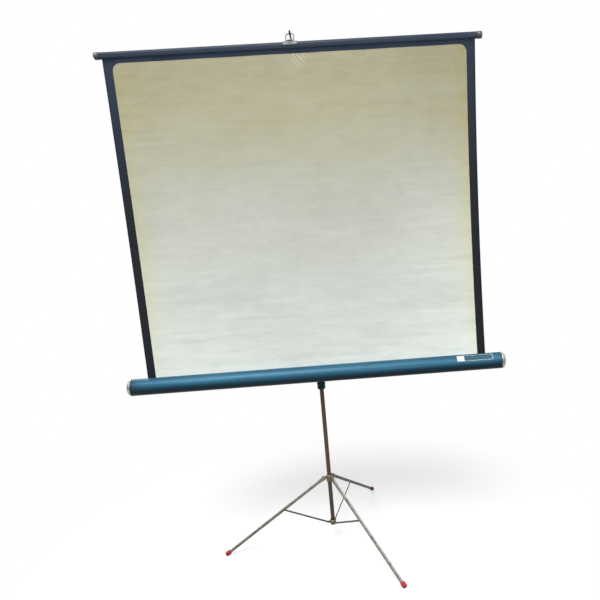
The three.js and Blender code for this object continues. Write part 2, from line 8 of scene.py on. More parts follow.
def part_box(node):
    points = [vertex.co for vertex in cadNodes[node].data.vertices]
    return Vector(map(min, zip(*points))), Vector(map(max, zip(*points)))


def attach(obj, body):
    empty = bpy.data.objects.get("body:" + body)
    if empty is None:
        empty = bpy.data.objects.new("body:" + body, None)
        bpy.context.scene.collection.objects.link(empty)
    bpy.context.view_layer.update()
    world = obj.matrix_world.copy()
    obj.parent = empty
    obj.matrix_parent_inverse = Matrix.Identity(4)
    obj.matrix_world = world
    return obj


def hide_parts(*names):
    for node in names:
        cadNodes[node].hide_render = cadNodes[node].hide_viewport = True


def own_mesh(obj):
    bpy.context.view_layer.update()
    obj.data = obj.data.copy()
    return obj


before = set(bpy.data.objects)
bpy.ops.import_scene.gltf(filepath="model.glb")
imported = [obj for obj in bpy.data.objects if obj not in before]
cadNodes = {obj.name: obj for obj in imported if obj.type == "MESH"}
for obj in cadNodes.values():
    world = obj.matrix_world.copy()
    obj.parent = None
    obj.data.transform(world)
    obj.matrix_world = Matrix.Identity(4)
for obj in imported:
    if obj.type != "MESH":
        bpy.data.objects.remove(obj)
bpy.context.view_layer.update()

ops, moved = bmesh.ops, Matrix.Translation
scene = bpy.context.scene
scene.view_settings.view_transform = "Standard"
print("frame loaded,", len(cadNodes), "nodes")


# helpers for node trees

def operator(operation, swapped=False):
    def work(self, other=0.0):
        first, second = (other, self) if swapped else (self, other)
        return self.tree.add("Math", {"operation": operation}, {0: first, 1: second})
    return work


class Flow:
    # one socket of a node tree, so that values can be worked out as expressions
    def __init__(self, tree, socket):
        self.tree, self.socket = tree, socket

    __add__, __radd__ = operator("ADD"), operator("ADD", True)
    __sub__, __rsub__ = operator("SUBTRACT"), operator("SUBTRACT", True)
    __mul__, __truediv__, __pow__ = operator("MULTIPLY"), operator("DIVIDE"), operator("POWER")
    __abs__, sine = operator("ABSOLUTE"), operator("SINE")
    atLeast, atMost = operator("MAXIMUM"), operator("MINIMUM")


def setStops(ramp, stops):
    while len(ramp.elements) < len(stops):
        ramp.elements.new(0.5)
    for element, (place, colour) in zip(ramp.elements, stops):
        element.position, element.color = place, (*colour, 1)


class Nodes:
    # a node tree that is filled by one method
    def __init__(self, tree):
        self.tree = tree
        tree.nodes.clear()

    def add(self, kind, settings=None, inputs=None, result=0):
        node = self.tree.nodes.new("ShaderNode" + kind)
        for key, value in (settings or {}).items():
            if key == "stops":
                setStops(node.color_ramp, value)
            else:
                setattr(node, key, value)
        for key, value in (inputs or {}).items():
            if isinstance(value, Flow):
                self.tree.links.new(value.socket, node.inputs[key])
            else:
                node.inputs[key].default_value = value
        return Flow(self, node.outputs[result]) if len(node.outputs) else None

    def point(self, stretch=(1, 1, 1), turn=(0, 0, 0)):
        place = self.add("TexCoord", result=3)
        inputs = {"Vector": place, "Scale": stretch, "Rotation": turn}
        return self.add("Mapping", {"vector_type": "POINT"}, inputs)

    def split(self, vector):
        parts = self.add("SeparateXYZ", {}, {0: vector}).socket.node.outputs
        return [Flow(self, part) for part in parts]

    def grain(self, scale, stretch=(1, 1, 1), detail=3.0, rough=0.55, turn=(0, 0, 0), warp=0.0):
        return self.noise(self.point(stretch, turn), scale, detail, rough, warp)

    def noise(self, place, scale, detail=3.0, rough=0.55, warp=0.0):
        inputs = {"Vector": place, "Scale": scale, "Detail": detail, "Roughness": rough, "Distortion": warp}
        return self.add("TexNoise", {}, inputs)

    def ramp(self, value, low, high):
        settings = {"interpolation_type": "SMOOTHSTEP", "clamp": True}
        return self.add("MapRange", settings, {0: value, 1: low, 2: high, 3: 0.0, 4: 1.0})

    def blend(self, share, first, second, mode="MIX"):
        settings = {"data_type": "RGBA", "blend_type": mode, "clamp_factor": True}
        first, second = (c if isinstance(c, Flow) else (*c, 1) for c in (first, second))
        return self.add("Mix", settings, {0: share, 6: first, 7: second}, 2)

    def paintedUnderTone(self, colour, s):
        # blends to another colour on the lower side of a level tube, as painted shade there when darker and
        # painted fill light when paler
        z = self.split(self.point())[2]
        return self.blend((1 - self.ramp(z, s["low"], s["high"])) * s["share"], colour, s["colour"])

    def paintedTubeShade(self, colour, s):
        # painted shade and highlight: how pale the paint is made round a level tube, from its underside up
        z = self.split(self.point())[2]
        stops = [(place, (tone, tone, tone)) for place, tone in s["tones"]]
        tone = self.add("ValToRGB", {"stops": stops}, {0: (z - s["low"]) / (s["high"] - s["low"])})
        return self.blend(1.0, colour, tone, "MULTIPLY")

    def bump(self, height, strength, depth):
        return self.add("Bump", {}, {"Strength": strength, "Distance": depth, "Height": height})

    def surface(self, inputs):
        shader = self.add("BsdfPrincipled", {}, inputs)
        self.add("OutputMaterial", {}, {"Surface": shader})


def newFinish(recipe, name, *settings):
    material = bpy.data.materials.new(name)
    material.use_nodes = True
    recipe(Nodes(material.node_tree), *settings)
    return material


# camera, lamps and floor

cameraSet = {
    "place": (0.1465, -1.7292, 1.0405),
    "yaw": -1.851, "pitch": -9.84, "roll": 3.837,  # degrees
    "focal": 537.7, "middle": (378.8, 322.5), "frame": 600.0,  # in pixels of the image
    "sensor": 36,  # millimetres
}


def makeCamera(s):
    data = bpy.data.cameras.new("photoCamera")
    data.sensor_width = s["sensor"]
    data.lens = s["focal"] / s["frame"] * s["sensor"]
    data.shift_x = 0.5 - s["middle"][0] / s["frame"]
    data.shift_y = s["middle"][1] / s["frame"] - 0.5
    camera = bpy.data.objects.new("photoCamera", data)
    scene.collection.objects.link(camera)
    turn = Matrix.Identity(4)
    for key, axis in (("yaw", "Z"), ("pitch", "X"), ("roll", "Y")):
        turn = turn @ Matrix.Rotation(math.radians(s[key]), 4, axis)
    camera.matrix_world = moved(s["place"]) @ turn @ Matrix.Rotation(math.pi / 2, 4, "X")
    scene.camera = camera


lampSet = {
    "key": {"place": (-0.8, -2.6, 5.0), "aim": (0, 0, 0.85), "size": 2.6, "watts": 368},
    "front": {"place": (0.9, -3.0, 1.7), "aim": (0, 0, 1.0), "size": 2.0, "watts": 24},
    "back": {"place": (-1.4, 2.4, 2.8), "aim": (0, 0, 0.8), "size": 1.8, "watts": 70},
}
worldSet = {"sky": 0.06, "shown": 1.0}
floorSet = {
    "half": 14.0, "clear": 0.35, "faded": 1.05, "tone": 0.36, "own": 0.6, "bounce": 0.04, "blank": 1.0,
}


def makeLamps(lamps):
    for name, s in lamps.items():
        data = bpy.data.lights.new(name + "Lamp", "AREA")
        data.size, data.energy = s["size"], s["watts"]
        lamp = bpy.data.objects.new(name + "Lamp", data)
        scene.collection.objects.link(lamp)
        aim = Vector(s["aim"]) - Vector(s["place"])
        lamp.matrix_world = moved(s["place"]) @ aim.to_track_quat("-Z", "Y").to_matrix().to_4x4()


def seenDirectly(tree):
    # 1 for rays that show the background, 0 for those that only light things
    path = tree.add("LightPath").socket.node.outputs
    seen = Flow(tree, path["Is Camera Ray"])
    for name in ("Is Glossy Ray", "Is Transmission Ray"):
        seen = seen.atLeast(Flow(tree, path[name]))
    return seen


def makeWorld(s):
    world = bpy.data.worlds.new("studio")
    world.use_nodes = True
    tree = Nodes(world.node_tree)
    strength = s["sky"] + seenDirectly(tree) * (s["shown"] - s["sky"])
    light = tree.add("Background", {}, {"Color": (1, 1, 1, 1), "Strength": strength})
    tree.add("OutputWorld", {}, {"Surface": light})
    scene.world = world


def paleFloor(tree, s):
    x, y = tree.split(tree.point())[:2]
    away = (x * x + y * y) ** 0.5
    near = 1 - tree.ramp(away, s["clear"], s["faded"])  # the shadow is kept near the object
    pale, dull = (tree.add("BsdfDiffuse", {}, {"Color": (*[s[key]] * 3, 1)}) for key in ("tone", "bounce"))
    glow, white = (tree.add("Emission", {}, {"Color": (1, 1, 1, 1), "Strength": s[key]})
                   for key in ("own", "blank"))
    lit = tree.add("AddShader", {}, {0: pale, 1: glow})
    shown = tree.add("MixShader", {}, {0: near, 1: white, 2: lit})
    whole = tree.add("MixShader", {}, {0: seenDirectly(tree), 1: dull, 2: shown})
    tree.add("OutputMaterial", {}, {"Surface": whole})


def makeFloor(s):
    bm = bmesh.new()
    ops.create_grid(bm, x_segments=8, y_segments=8, size=s["half"])
    mesh = bpy.data.meshes.new("floor")
    bm.to_mesh(mesh)
    bm.free()
    floor = bpy.data.objects.new("floor", mesh)
    scene.collection.objects.link(floor)
    mesh.materials.append(newFinish(paleFloor, "paleFloor", s))


makeCamera(cameraSet)
makeLamps(lampSet)
makeWorld(worldSet)
makeFloor(floorSet)
print("camera, lamps and floor set")


# finishes

def enamel(tree, deep, light, chip, rough, endMarks=None, under=None, tones=None):
    # sprayed enamel: soft mottling, long faint streaks, orange peel and small chips
    cloud = tree.grain(9, (0.6, 1, 1), 4)
    streak = tree.grain(40, (0.06, 1, 1), 2)
    colour = tree.blend(cloud * 0.6 + tree.ramp(streak, 0.3, 0.7) * 0.6 - 0.1, deep, light)
    # painted light on the tube's shaded underside
    if under:
        colour = tree.paintedUnderTone(colour, under)
    # painted shade and highlight round the tube
    if tones:
        colour = tree.paintedTubeShade(colour, tones)
    flecks = tree.grain(420, (0.5, 1, 1), 2)
    patches = tree.grain(26, (0.7, 1, 1), 3)
    loose = flecks + patches * 0.5
    if endMarks:  # more chips towards the ends, and the chip colour in a narrow band at each end, next to the caps
        x = abs(tree.split(tree.point())[0])
        loose = loose + tree.ramp(x, endMarks["from"], endMarks["to"]) * 0.15
        ring = tree.ramp(x, endMarks["ring"] - endMarks["soft"], endMarks["ring"])
        colour = tree.blend(ring * 0.8, colour, chip)
    chips = tree.ramp(loose, 0.92, 0.99)
    colour = tree.blend(chips * 0.85, colour, chip)
    dust = tree.ramp(tree.grain(70, (0.4, 1, 1), 4), 0.5, 0.8)
    peel = tree.grain(900, (1, 1, 1), 1)
    height = peel * 0.5 + streak * 0.3 - chips * 0.8
    tree.surface({"Base Color": colour, "Roughness": rough + dust * 0.14 + chips * 0.2, "Coat Weight": 0.03,
                  "Coat Roughness": 0.25, "Specular IOR Level": 0.1,
                  "Normal": tree.bump(height, 0.18, 0.0004)})


def brightMetal(tree, pale, stain, rough, metal, brushed, spread=0.5, under=None, rim=None):
    # plated metal: fine hairlines, stains and slightly uneven gloss
    hair = tree.grain(520, brushed, 2)
    blot = tree.grain(55, (1, 1, 1), 5, 0.6)
    stains = tree.ramp(blot, spread, spread + 0.22)
    pits = tree.ramp(tree.grain(700, (1, 1, 1), 2), 0.68, 0.76)
    colour = tree.blend(stains * 0.75 + pits * 0.2, pale, stain)
    colour = tree.blend(hair * 0.22, colour, stain)
    # painted shade on the tube's underside
    if under:
        colour = tree.paintedUnderTone(colour, under)
    if rim:  # a darker, stain-coloured band at the cap's inner edge, where it meets its tube
        x = tree.split(tree.point())[0]
        rimBand = (1 - tree.ramp(abs(x), rim, rim + 0.0016)) * (0.45 + blot * 0.9)
        colour = tree.blend(rimBand, colour, stain)
    gloss = rough + hair * 0.12 + stains * 0.16 + pits * 0.2
    tree.surface({"Base Color": colour, "Metallic": metal - stains * 0.2, "Roughness": gloss,
                  "Normal": tree.bump(hair * 0.6 - pits, 0.12, 0.0003)})


def castMetal(tree, pale, dark, rough, metal):
    # painted or cast metal with a sandy skin, darker in its hollows
    sand = tree.grain(1100, (1, 1, 1), 3, 0.6)
    cloud = tree.grain(60, (1, 1, 1), 4, 0.6)
    rubs = tree.ramp(cloud, 0.35, 0.7)
    colour = tree.blend(rubs, dark, pale)
    specks = tree.ramp(sand, 0.62, 0.7)
    colour = tree.blend(specks * 0.4, colour, dark)
    tree.surface({"Base Color": colour, "Metallic": metal, "Roughness": rough + sand * 0.15 - rubs * 0.08,
                  "Normal": tree.bump(sand * 0.7 + cloud * 0.4, 0.3, 0.0005)})


def lacquer(tree, deep, light, worn, rough, metal):
    # thin brown or dark lacquer over drawn tube: draw lines along it and rubbed patches
    drawn = tree.grain(300, (1, 1, 0.02), 2)
    cloud = tree.grain(14, (1, 1, 0.5), 4)
    rubbed = tree.ramp(tree.grain(35, (1, 1, 0.35), 5, 0.65), 0.56, 0.74)
    colour = tree.blend(cloud * 0.8 + drawn * 0.3 - 0.1, deep, light)
    colour = tree.blend(rubbed * 0.55, colour, worn)
    gloss = rough + drawn * 0.12 - rubbed * 0.08
    tree.surface({"Base Color": colour, "Metallic": metal + rubbed * 0.2, "Roughness": gloss,
                  "Coat Weight": 0.1, "Coat Roughness": 0.3, "Specular IOR Level": 0.35,
                  "Normal": tree.bump(drawn * 0.7 - rubbed * 0.3, 0.15, 0.0003)})


def rubber(tree, deep, light, scuff):
    # moulded rubber: slight bloom, scuffs towards the floor and a pebbled skin
    z = tree.split(tree.point())[2]
    bloom = tree.grain(120, (1, 1, 1), 4)
    pebble = tree.grain(900, (1, 1, 1), 2)
    colour = tree.blend(bloom * 1.2 - 0.1, deep, light)
    worn = (1 - tree.ramp(z, 0.001, 0.009)) * tree.ramp(tree.grain(260, (1, 1, 1), 4), 0.4, 0.62)
    colour = tree.blend(worn * 0.8, colour, scuff)
    gloss = 0.46 + bloom * 0.16 + worn * 0.2
    tree.surface({"Base Color": colour, "Roughness": gloss, "Specular IOR Level": 0.3,
                  "Normal": tree.bump(pebble * 0.6 + bloom * 0.3 - worn * 0.4, 0.2, 0.0004)})


def plain(tree, deep, light, fine, broad, tint, rough, dent):
    # two layers of grain that tint and roughen a plain surface, of which the finer one dents it
    small, large = tree.grain(*fine), tree.grain(*broad)
    colour = tree.blend(small * tint[0] + large * tint[1] + tint[2], deep, light)
    gloss = rough[0] + small * rough[1] + large * rough[2]
    tree.surface({"Base Color": colour, "Roughness": gloss, "Normal": tree.bump(small, *dent)})


def woody(tree, deep, light, stretch):
    # turned wood or wound card: bands along or round the piece
    fine, broad = (240, stretch, 4, 0.6), (30, stretch, 3, 0.5, (0, 0, 0), 0.6)
    plain(tree, deep, light, fine, broad, (0.6, 0.6, -0.1), (0.62, 0.2, 0), (0.25, 0.0004))


clothSet = {
    "width": 1.067, "low": 0.607, "high": 1.5705, "travel": 0.934,  # flat sheet and the slat's way, metres
    "across": 180, "up": 240, "thick": 0.0003,
    "waistLeft": 0.002, "waistRight": 0.006,  # how far the side edges bow in
    "side": 0.0255, "top": 0.0185, "corner": 0.022, "soft": 0.0005,  # dark border, its inner corners and edge
    # the sheet's colour from the case up to the slat: yellowed with age, and painted darker towards the top
    # as shade
    "aged": [(0.0, (0.82, 0.865, 0.81)), (0.25, (0.66, 0.695, 0.65)), (0.55, (0.5, 0.515, 0.445)),
             (0.8, (0.395, 0.38, 0.26)), (1.0, (0.335, 0.31, 0.195))],  # from the case up to the slat
    # scale, length, warp and share
    "mottle": [(60, 0.2, 0.8, 0.19), (150, 0.07, 0.3, 0.09), (26, 0.6, 1.0, 0.16)],
    "margin": (1.0, 0.985, 0.86), "marginAt": (0.4, 0.515), "marginUp": (0.08, 0.3),
    "cream": (1.0, 0.965, 0.8), "creamAt": (0.465, 0.51),
    "liftAt": (0.1, 0.5), "liftUp": (0.3, 0.95),  # the sides are pale low down and dull high up
    "rolled": (0.42, 0.41, 0.32), "tint": (0.46, 0.5, 0.48), "bead": (0.92, 0.92, 0.88),
    # the border is dark low down and painted bluer higher up, as a reflected sheen
    "dark": (0.013, 0.015, 0.019), "navy": (0.022, 0.034, 0.058), "navyUp": (0.45, 0.95),
    # the border's colours below the slat, painted paler as light that lifts the slat's shadow, and how far
    # under the top edge each starts and is full
    "hems": [((0.025, 0.039, 0.068), 0.018, 0.007), ((0.075, 0.115, 0.19), 0.0115, 0.0065)],
}


def clothCoordinates(tree, s):
    # metres across from the middle and up from the case, from the sheet's own map
    place = tree.add("UVMap", {"uv_map": "sheet"})
    u, v = tree.split(place)[:2]
    return place, (u - 0.5) * s["width"], v * (s["high"] - s["low"])


creaseSet = {
    "start": -0.002, "lean": (0.64, 0.77),  # metres from the middle, and the way the creases run
    "wide": 0.03, "long": 0.052, "apart": 0.021, "deep": 0.0011, "rise": 0.012,
    "fine": 0.0105, "line": (0.5, 0.95), "broken": (0.34, 0.56), "core": 0.3, "fade": (0.7, 1.5),
    "share": 0.62, "wander": 0.016, "pale": (0.64, 0.6, 0.44),
}


def creasePlace(across, fromTop, s):
    # how far a point is along the creases below the bail, and to the side of their middle
    right, down = s["lean"]
    return (across - s["start"]) * right + fromTop * down, (across - s["start"]) * down - fromTop * right


def creaseHighlights(tree, across, fromTop, wander, s):
    # painted highlights along the creases, standing for the light their ridges catch, which wander and fade
    # in places
    along, square = creasePlace(across, fromTop, s)
    square = square + (wander - 0.5) * s["wander"]
    lines = tree.ramp((square * (2 * math.pi / s["fine"])).sine(), *s["line"])
    fade = 1 - tree.ramp(along, *(s["long"] * part for part in s["fade"]))
    reach = tree.ramp(wander, *s["broken"]) * tree.ramp(along, 0.0, s["rise"]) * fade
    return lines * reach * (1 - tree.ramp(abs(square), s["wide"] * s["core"], s["wide"])) * s["share"]


def screenCloth(tree, s):
    place, across, up = clothCoordinates(tree, s)
    height, out = s["high"] - s["low"], abs(across)

    def onCloth(scale, stretch, *rest):
        return tree.noise(tree.add("Mapping", {}, {"Vector": place, "Scale": stretch}), scale, *rest)

    broad = onCloth(3, (1.1, 1, 1), 3)
    aged = tree.add("ValToRGB", {"stops": s["aged"]}, {0: up / height + (broad - 0.5) * 0.16})
    edge = tree.ramp(out, *s["marginAt"]) * tree.ramp(up, *s["marginUp"])
    colour = tree.blend(edge * 0.8, aged, s["margin"], "MULTIPLY")
    colour = tree.blend(tree.ramp(out, *s["creamAt"]) * (0.5 + broad) * 0.6, colour, s["cream"], "MULTIPLY")
    lift = tree.ramp(out, *s["liftAt"]) * (1 - tree.ramp(up, *s["liftUp"]) * 1.7)
    level = 1 + lift * (0.105 + across * 0.09)
    for scale, long, warp, share in s["mottle"]:
        level = level + (onCloth(scale, (long, 1, 1), 4, 0.6, warp) - 0.5) * share
    colour = tree.add("VectorMath", {"operation": "SCALE"}, {0: colour, 3: level})
    streak = onCloth(60, (0.05, 1, 1), 4, 0.6, 0.5)  # faint level lines from being rolled up
    band = onCloth(16, (0.09, 1, 1), 3, 0.55, 1.2)
    lines = tree.ramp(streak, 0.45, 0.75) * 0.08 + tree.ramp(band, 0.42, 0.68) * 0.1
    colour = tree.blend(lines, colour, s["rolled"])
    tint = onCloth(8, (1, 1.4, 1), 4, 0.6, 0.5)
    colour = tree.blend(tree.ramp(tint, 0.46, 0.66) * 0.12, colour, s["tint"])
    # painted highlights along the creases below the bail
    creaseLight = creaseHighlights(tree, across, height - up, onCloth(22, (1, 0.9, 1), 2), creaseSet)
    colour = tree.blend(creaseLight, colour, creaseSet["pale"])
    beads = onCloth(2600, (1, 0.9, 1), 1)
    colour = tree.blend(tree.ramp(beads, 0.55, 0.75) * 0.14, colour, s["bead"])
    # dark border with rounded inner corners
    wobble = (onCloth(160, (1, 0.9, 1), 2) - 0.5) * 0.0012
    inX = out - (s["width"] / 2 - s["side"] - s["corner"]) + wobble
    inY = up - (height - s["top"] - s["corner"]) + wobble
    away = (inX.atLeast(0.0) ** 2 + inY.atLeast(0.0) ** 2) ** 0.5
    border = tree.ramp(away + inX.atLeast(inY).atMost(0.0) - s["corner"], -s["soft"], s["soft"])
    weave = onCloth(900, (1, 0.9, 1), 1)
    # the border's dark print, painted bluer higher up as a reflected sheen, then paler under the slat to lift
    # its shadow
    inkAndPaintedLight = tree.blend(tree.ramp(up, *s["navyUp"]) * 0.8 + (weave - 0.5) * 0.5, s["dark"], s["navy"])
    for tone, first, last in s["hems"]:
        inkAndPaintedLight = tree.blend(tree.ramp(up, height - first, height - last), inkAndPaintedLight, tone)
    colour = tree.blend(border, colour, inkAndPaintedLight)
    pores = beads * (1 - border) + weave * border * 0.5
    gloss = 0.8 - border * 0.2 + beads * 0.1
    tree.surface({"Base Color": colour, "Roughness": gloss, "Specular IOR Level": 0.12,
                  "Normal": tree.bump(pores + streak * 0.5, 0.16, 0.0004)})


def backCloth(tree, s):
    # dull back of the sheet, with the border showing through faintly and a plain weave
    place, across = clothCoordinates(tree, s)[:2]
    over = tree.add("Mapping", {}, {"Vector": place, "Scale": (1, 0.91, 1)})
    yarn = {"Vector": over, "Scale": 260.0}
    warp, weft = (tree.add("TexWave", {"bands_direction": axis}, yarn, 1) for axis in ("X", "Y"))
    weave = warp * 0.5 + weft * 0.5
    colour = tree.blend(tree.noise(over, 5.0, 4.0, 0.5), (0.3, 0.29, 0.25), (0.4, 0.39, 0.34))
    inner = s["width"] / 2 - s["side"]
    shown = tree.ramp(abs(across), inner - 2 * s["soft"], inner + 2 * s["soft"])
    colour = tree.blend(shown * 0.5, colour, (0.1, 0.1, 0.1))
    colour = tree.blend(weave * 0.25, colour, (0.18, 0.17, 0.15))
    gloss = 0.85 - weave * 0.1
    tree.surface({"Base Color": colour, "Roughness": gloss, "Normal": tree.bump(weave, 0.25, 0.0003)})


looks = {
    "blue": (
        enamel, "blueEnamel", (0.027, 0.117, 0.194), (0.057, 0.218, 0.345), (0.02, 0.03, 0.035), 0.38,
        {"from": 0.53, "to": 0.58, "ring": 0.5752, "soft": 0.0006}, None,
        # painted shade and highlight round the case: dark underside, lit band, darker top
        {"low": 0.579, "high": 0.631, "tones": [
            (0, 0.06), (0.27, 0.16), (0.45, 0.34), (0.625, 0.72), (0.78, 1.0), (0.92, 0.62), (1, 0.56)]}),
    "deepBlue": (
        enamel, "deepBlueEnamel", (0.007, 0.036, 0.056), (0.015, 0.062, 0.093), (0.03, 0.03, 0.03), 0.36),
    "navy": (
        enamel, "navyEnamel", (0.018, 0.027, 0.043), (0.029, 0.042, 0.063), (0.09, 0.095, 0.1), 0.45,
        {"from": 0.5, "to": 0.55, "ring": 0.5398, "soft": 0.0006},
        # the slat's underside painted paler, as fill light against its shade
        {"low": 1.565, "high": 1.5745, "colour": (0.13, 0.18, 0.28), "share": 0.9}),
    "plate": (enamel, "plateEnamel", (0.03, 0.085, 0.125), (0.045, 0.115, 0.16), (0.1, 0.12, 0.13), 0.3),
    "platePale": (enamel, "paleEnamel", (0.6, 0.64, 0.63), (0.72, 0.76, 0.74), (0.2, 0.25, 0.27), 0.4),
    "nickel": (
        brightMetal, "brightNickel", (0.55, 0.55, 0.525), (0.08, 0.054, 0.04), 0.24, 0.7, (0.1, 1, 1), 0.42,
        # the caps' lower side painted dark brown, as shade
        {"low": 0.578, "high": 0.6, "colour": (0.075, 0.055, 0.043), "share": 0.75}, 0.5786),
    "zinc": (
        brightMetal, "dullZinc", (0.115, 0.122, 0.128), (0.045, 0.049, 0.052), 0.4, 0.3, (0.1, 1, 1), 0.44),
    "plated": (
        brightMetal, "dullPlating", (0.36, 0.353, 0.31), (0.165, 0.152, 0.122), 0.4, 0.25, (1, 1, 0.1), 0.46),
    # a darker copy of the plating, as painted shade on the legs' sides
    "dulled": (
        brightMetal, "dulledPlating", (0.22, 0.208, 0.17), (0.107, 0.094, 0.072), 0.45, 0.2,
        (1, 1, 0.1), 0.42),
    "steel": (brightMetal, "plainSteel", (0.4, 0.4, 0.39), (0.2, 0.19, 0.17), 0.28, 0.8, (1, 1, 0.15)),
    "wire": (brightMetal, "dullWire", (0.036, 0.037, 0.039), (0.018, 0.0175, 0.017), 0.36, 0.3, (1, 1, 0.15)),
    "slatCap": (brightMetal, "greyCap", (0.085, 0.078, 0.078), (0.03, 0.027, 0.026), 0.36, 0.35, (0.2, 1, 1)),
    "olive": (castMetal, "oliveCasting", (0.2, 0.168, 0.115), (0.088, 0.071, 0.047), 0.45, 0.3),
    "strip": (castMetal, "oliveStrip", (0.115, 0.107, 0.086), (0.056, 0.05, 0.039), 0.45, 0.3),
    "dark": (castMetal, "darkSteel", (0.085, 0.082, 0.07), (0.04, 0.038, 0.032), 0.42, 0.4),
    "bronze": (
        lacquer, "bronzeLacquer", (0.058, 0.033, 0.017), (0.1, 0.058, 0.031), (0.16, 0.105, 0.06), 0.4, 0.15),
    "rod": (
        lacquer, "rodLacquer", (0.014, 0.014, 0.016), (0.03, 0.03, 0.032), (0.09, 0.09, 0.085), 0.36, 0.3),
    "red": (rubber, "redRubber", (0.4, 0.01, 0.026), (0.56, 0.02, 0.045), (0.26, 0.1, 0.1)),
    "knob": (
        plain, "knobPlastic", (0.012, 0.012, 0.013), (0.03, 0.029, 0.028), (800, (1, 1, 1), 2),
        (80, (1, 1, 1), 5, 0.6, (0, 0, 0), 1.5), (0, 1, 0), (0.32, 0, 0.2), (0.12, 0.0003)),
    "card": (woody, "woundCard", (0.2, 0.155, 0.1), (0.34, 0.27, 0.18), (0.2, 1, 1)),
    "wood": (woody, "dowelWood", (0.3, 0.2, 0.1), (0.48, 0.35, 0.2), (0.05, 1, 1)),
    "wrap": (
        plain, "rolledCloth", (0.34, 0.33, 0.28), (0.5, 0.49, 0.43), (1500, (0.6, 1, 1), 1),
        (90, (0.04, 1, 1), 3), (0.5, 0.6, 0), (0.8, 0.1, 0), (0.2, 0.0003)),
    "cloth": (screenCloth, "screenCloth", clothSet),
    "clothBack": (backCloth, "backCloth", clothSet),
}
finishes = {key: newFinish(*row) for key, row in looks.items()}
print("finishes made:", len(finishes))


# helpers for meshes

def newVerts(bm, before):
    return [v for v in bm.verts if v not in before]


def vertsOf(made):
    return [part for part in made["geom"] if isinstance(part, bmesh.types.BMVert)]


def edgesOf(made):
    return [part for part in made["geom"] if isinstance(part, bmesh.types.BMEdge)]


def chain(bm, points):
    # points joined by edges, to be turned or drawn out
    verts = [bm.verts.new(point) for point in points]
    return verts + [bm.edges.new(pair) for pair in zip(verts, verts[1:])]


def roundOff(middle, size, start, stop, steps):
    # pairs of radius and height on an arc, with its angles in degrees
    angles = [math.radians(start + (stop - start) * i / steps) for i in range(steps + 1)]
    return [(middle[0] + size[0] * math.cos(a), middle[1] + size[1] * math.sin(a)) for a in angles]


sides = {"cap": 72, "sleeve": 48, "tube": 40, "rod": 32, "barrel": 28, "screw": 20, "rivet": 16}


def lathe(bm, profile, place, kind):
    # pairs of radius and height turned about Z, then put in place
    before = set(bm.verts)
    line = chain(bm, [(radius, 0, height) for radius, height in profile])
    ops.spin(bm, geom=line, cent=(0, 0, 0), axis=(0, 0, 1), angle=2 * math.pi, steps=sides[kind],
             use_merge=True)
    made = newVerts(bm, before)
    ops.transform(bm, matrix=place, verts=made)
    ops.remove_doubles(bm, verts=made, dist=1e-6)


def sweep(bm, path, radii, sides, closed=False):
    # a round wire along points, from a ring that is extruded from one to the next
    ends = (path[-2], path[1]) if closed else (path[0], path[-1])
    longer = [ends[0], *path, ends[1]]
    heading = [(after - last).normalized() for last, after in zip(longer, longer[2:])]
    ring = ops.create_circle(bm, radius=radii[0], segments=sides)["verts"]
    turn = Vector((0, 0, 1)).rotation_difference(heading[0]).to_matrix().to_4x4()
    ops.transform(bm, matrix=moved(path[0]) @ turn, verts=ring)
    edges = list({e for v in ring for e in v.link_edges})
    first = list(edges)
    for i in range(1, len(path)):
        made = ops.extrude_edge_only(bm, edges=edges)
        ring, edges = vertsOf(made), edgesOf(made)
        bend = heading[i - 1].rotation_difference(heading[i]).to_matrix().to_4x4()
        size = Matrix.Scale(radii[i] / radii[i - 1], 4)
        move = moved(path[i]) @ bend @ size @ moved(-path[i - 1])
        ops.transform(bm, matrix=move, verts=ring)
    if not closed:
        ops.holes_fill(bm, edges=first + edges, sides=0)


def arcPath(centre, first, second, start, stop, steps):
    # points on an arc in the plane of two directions
    angles = [math.radians(start + (stop - start) * i / steps) for i in range(steps + 1)]
    return [centre + first * math.cos(a) + second * math.sin(a) for a in angles]


def tongue(bm, radius, length, thickness, place, rise=0.0):
    # a flat tongue along X with a round end, and a root that may be taller above
    before = set(bm.verts)
    near = thickness / 2
    end = arcPath(Vector((length, near, 0)), Vector((radius, 0, 0)), Vector((0, 0, radius)), -90, 90, 16)
    outline = [Vector((0, near, -radius)), *end, Vector((0, near, radius + rise))]
    face = bm.faces.new([bm.verts.new(p) for p in outline])
    made = ops.extrude_face_region(bm, geom=[face])
    ops.translate(bm, vec=(0, -thickness, 0), verts=vertsOf(made))
    ops.transform(bm, matrix=place, verts=newVerts(bm, before))


def turnedPiece(name, profile, place, kind, *looks):
    bm = bmesh.new()
    lathe(bm, profile, place, kind)
    addPiece(name, bm, *looks)


def bentStrip(bm, radius, spots, start, stop, steps):
    # a skin round X between two angles in degrees, divided at the spots along it
    first = math.radians(start)
    line = chain(bm, [(x, radius * math.cos(first), radius * math.sin(first)) for x in spots])
    ops.spin(bm, geom=line, cent=(0, 0, 0), axis=(1, 0, 0), angle=math.radians(stop - start), steps=steps)
    ops.remove_doubles(bm, verts=bm.verts, dist=1e-7)


def faceOut(bm):
    ops.recalc_face_normals(bm, faces=bm.faces)
    first = bm.faces[:][0]
    if first.normal.dot(first.calc_center_median()) < 0:
        ops.reverse_faces(bm, faces=bm.faces)


def cadCopy(node):
    # a merged copy of a node's mesh with its flat faces joined up
    bm = bmesh.new()
    bm.from_mesh(cadNodes[node].data)
    ops.remove_doubles(bm, verts=bm.verts, dist=2e-6)
    ops.dissolve_limit(bm, angle_limit=math.radians(0.6), verts=bm.verts, edges=bm.edges)
    return bm


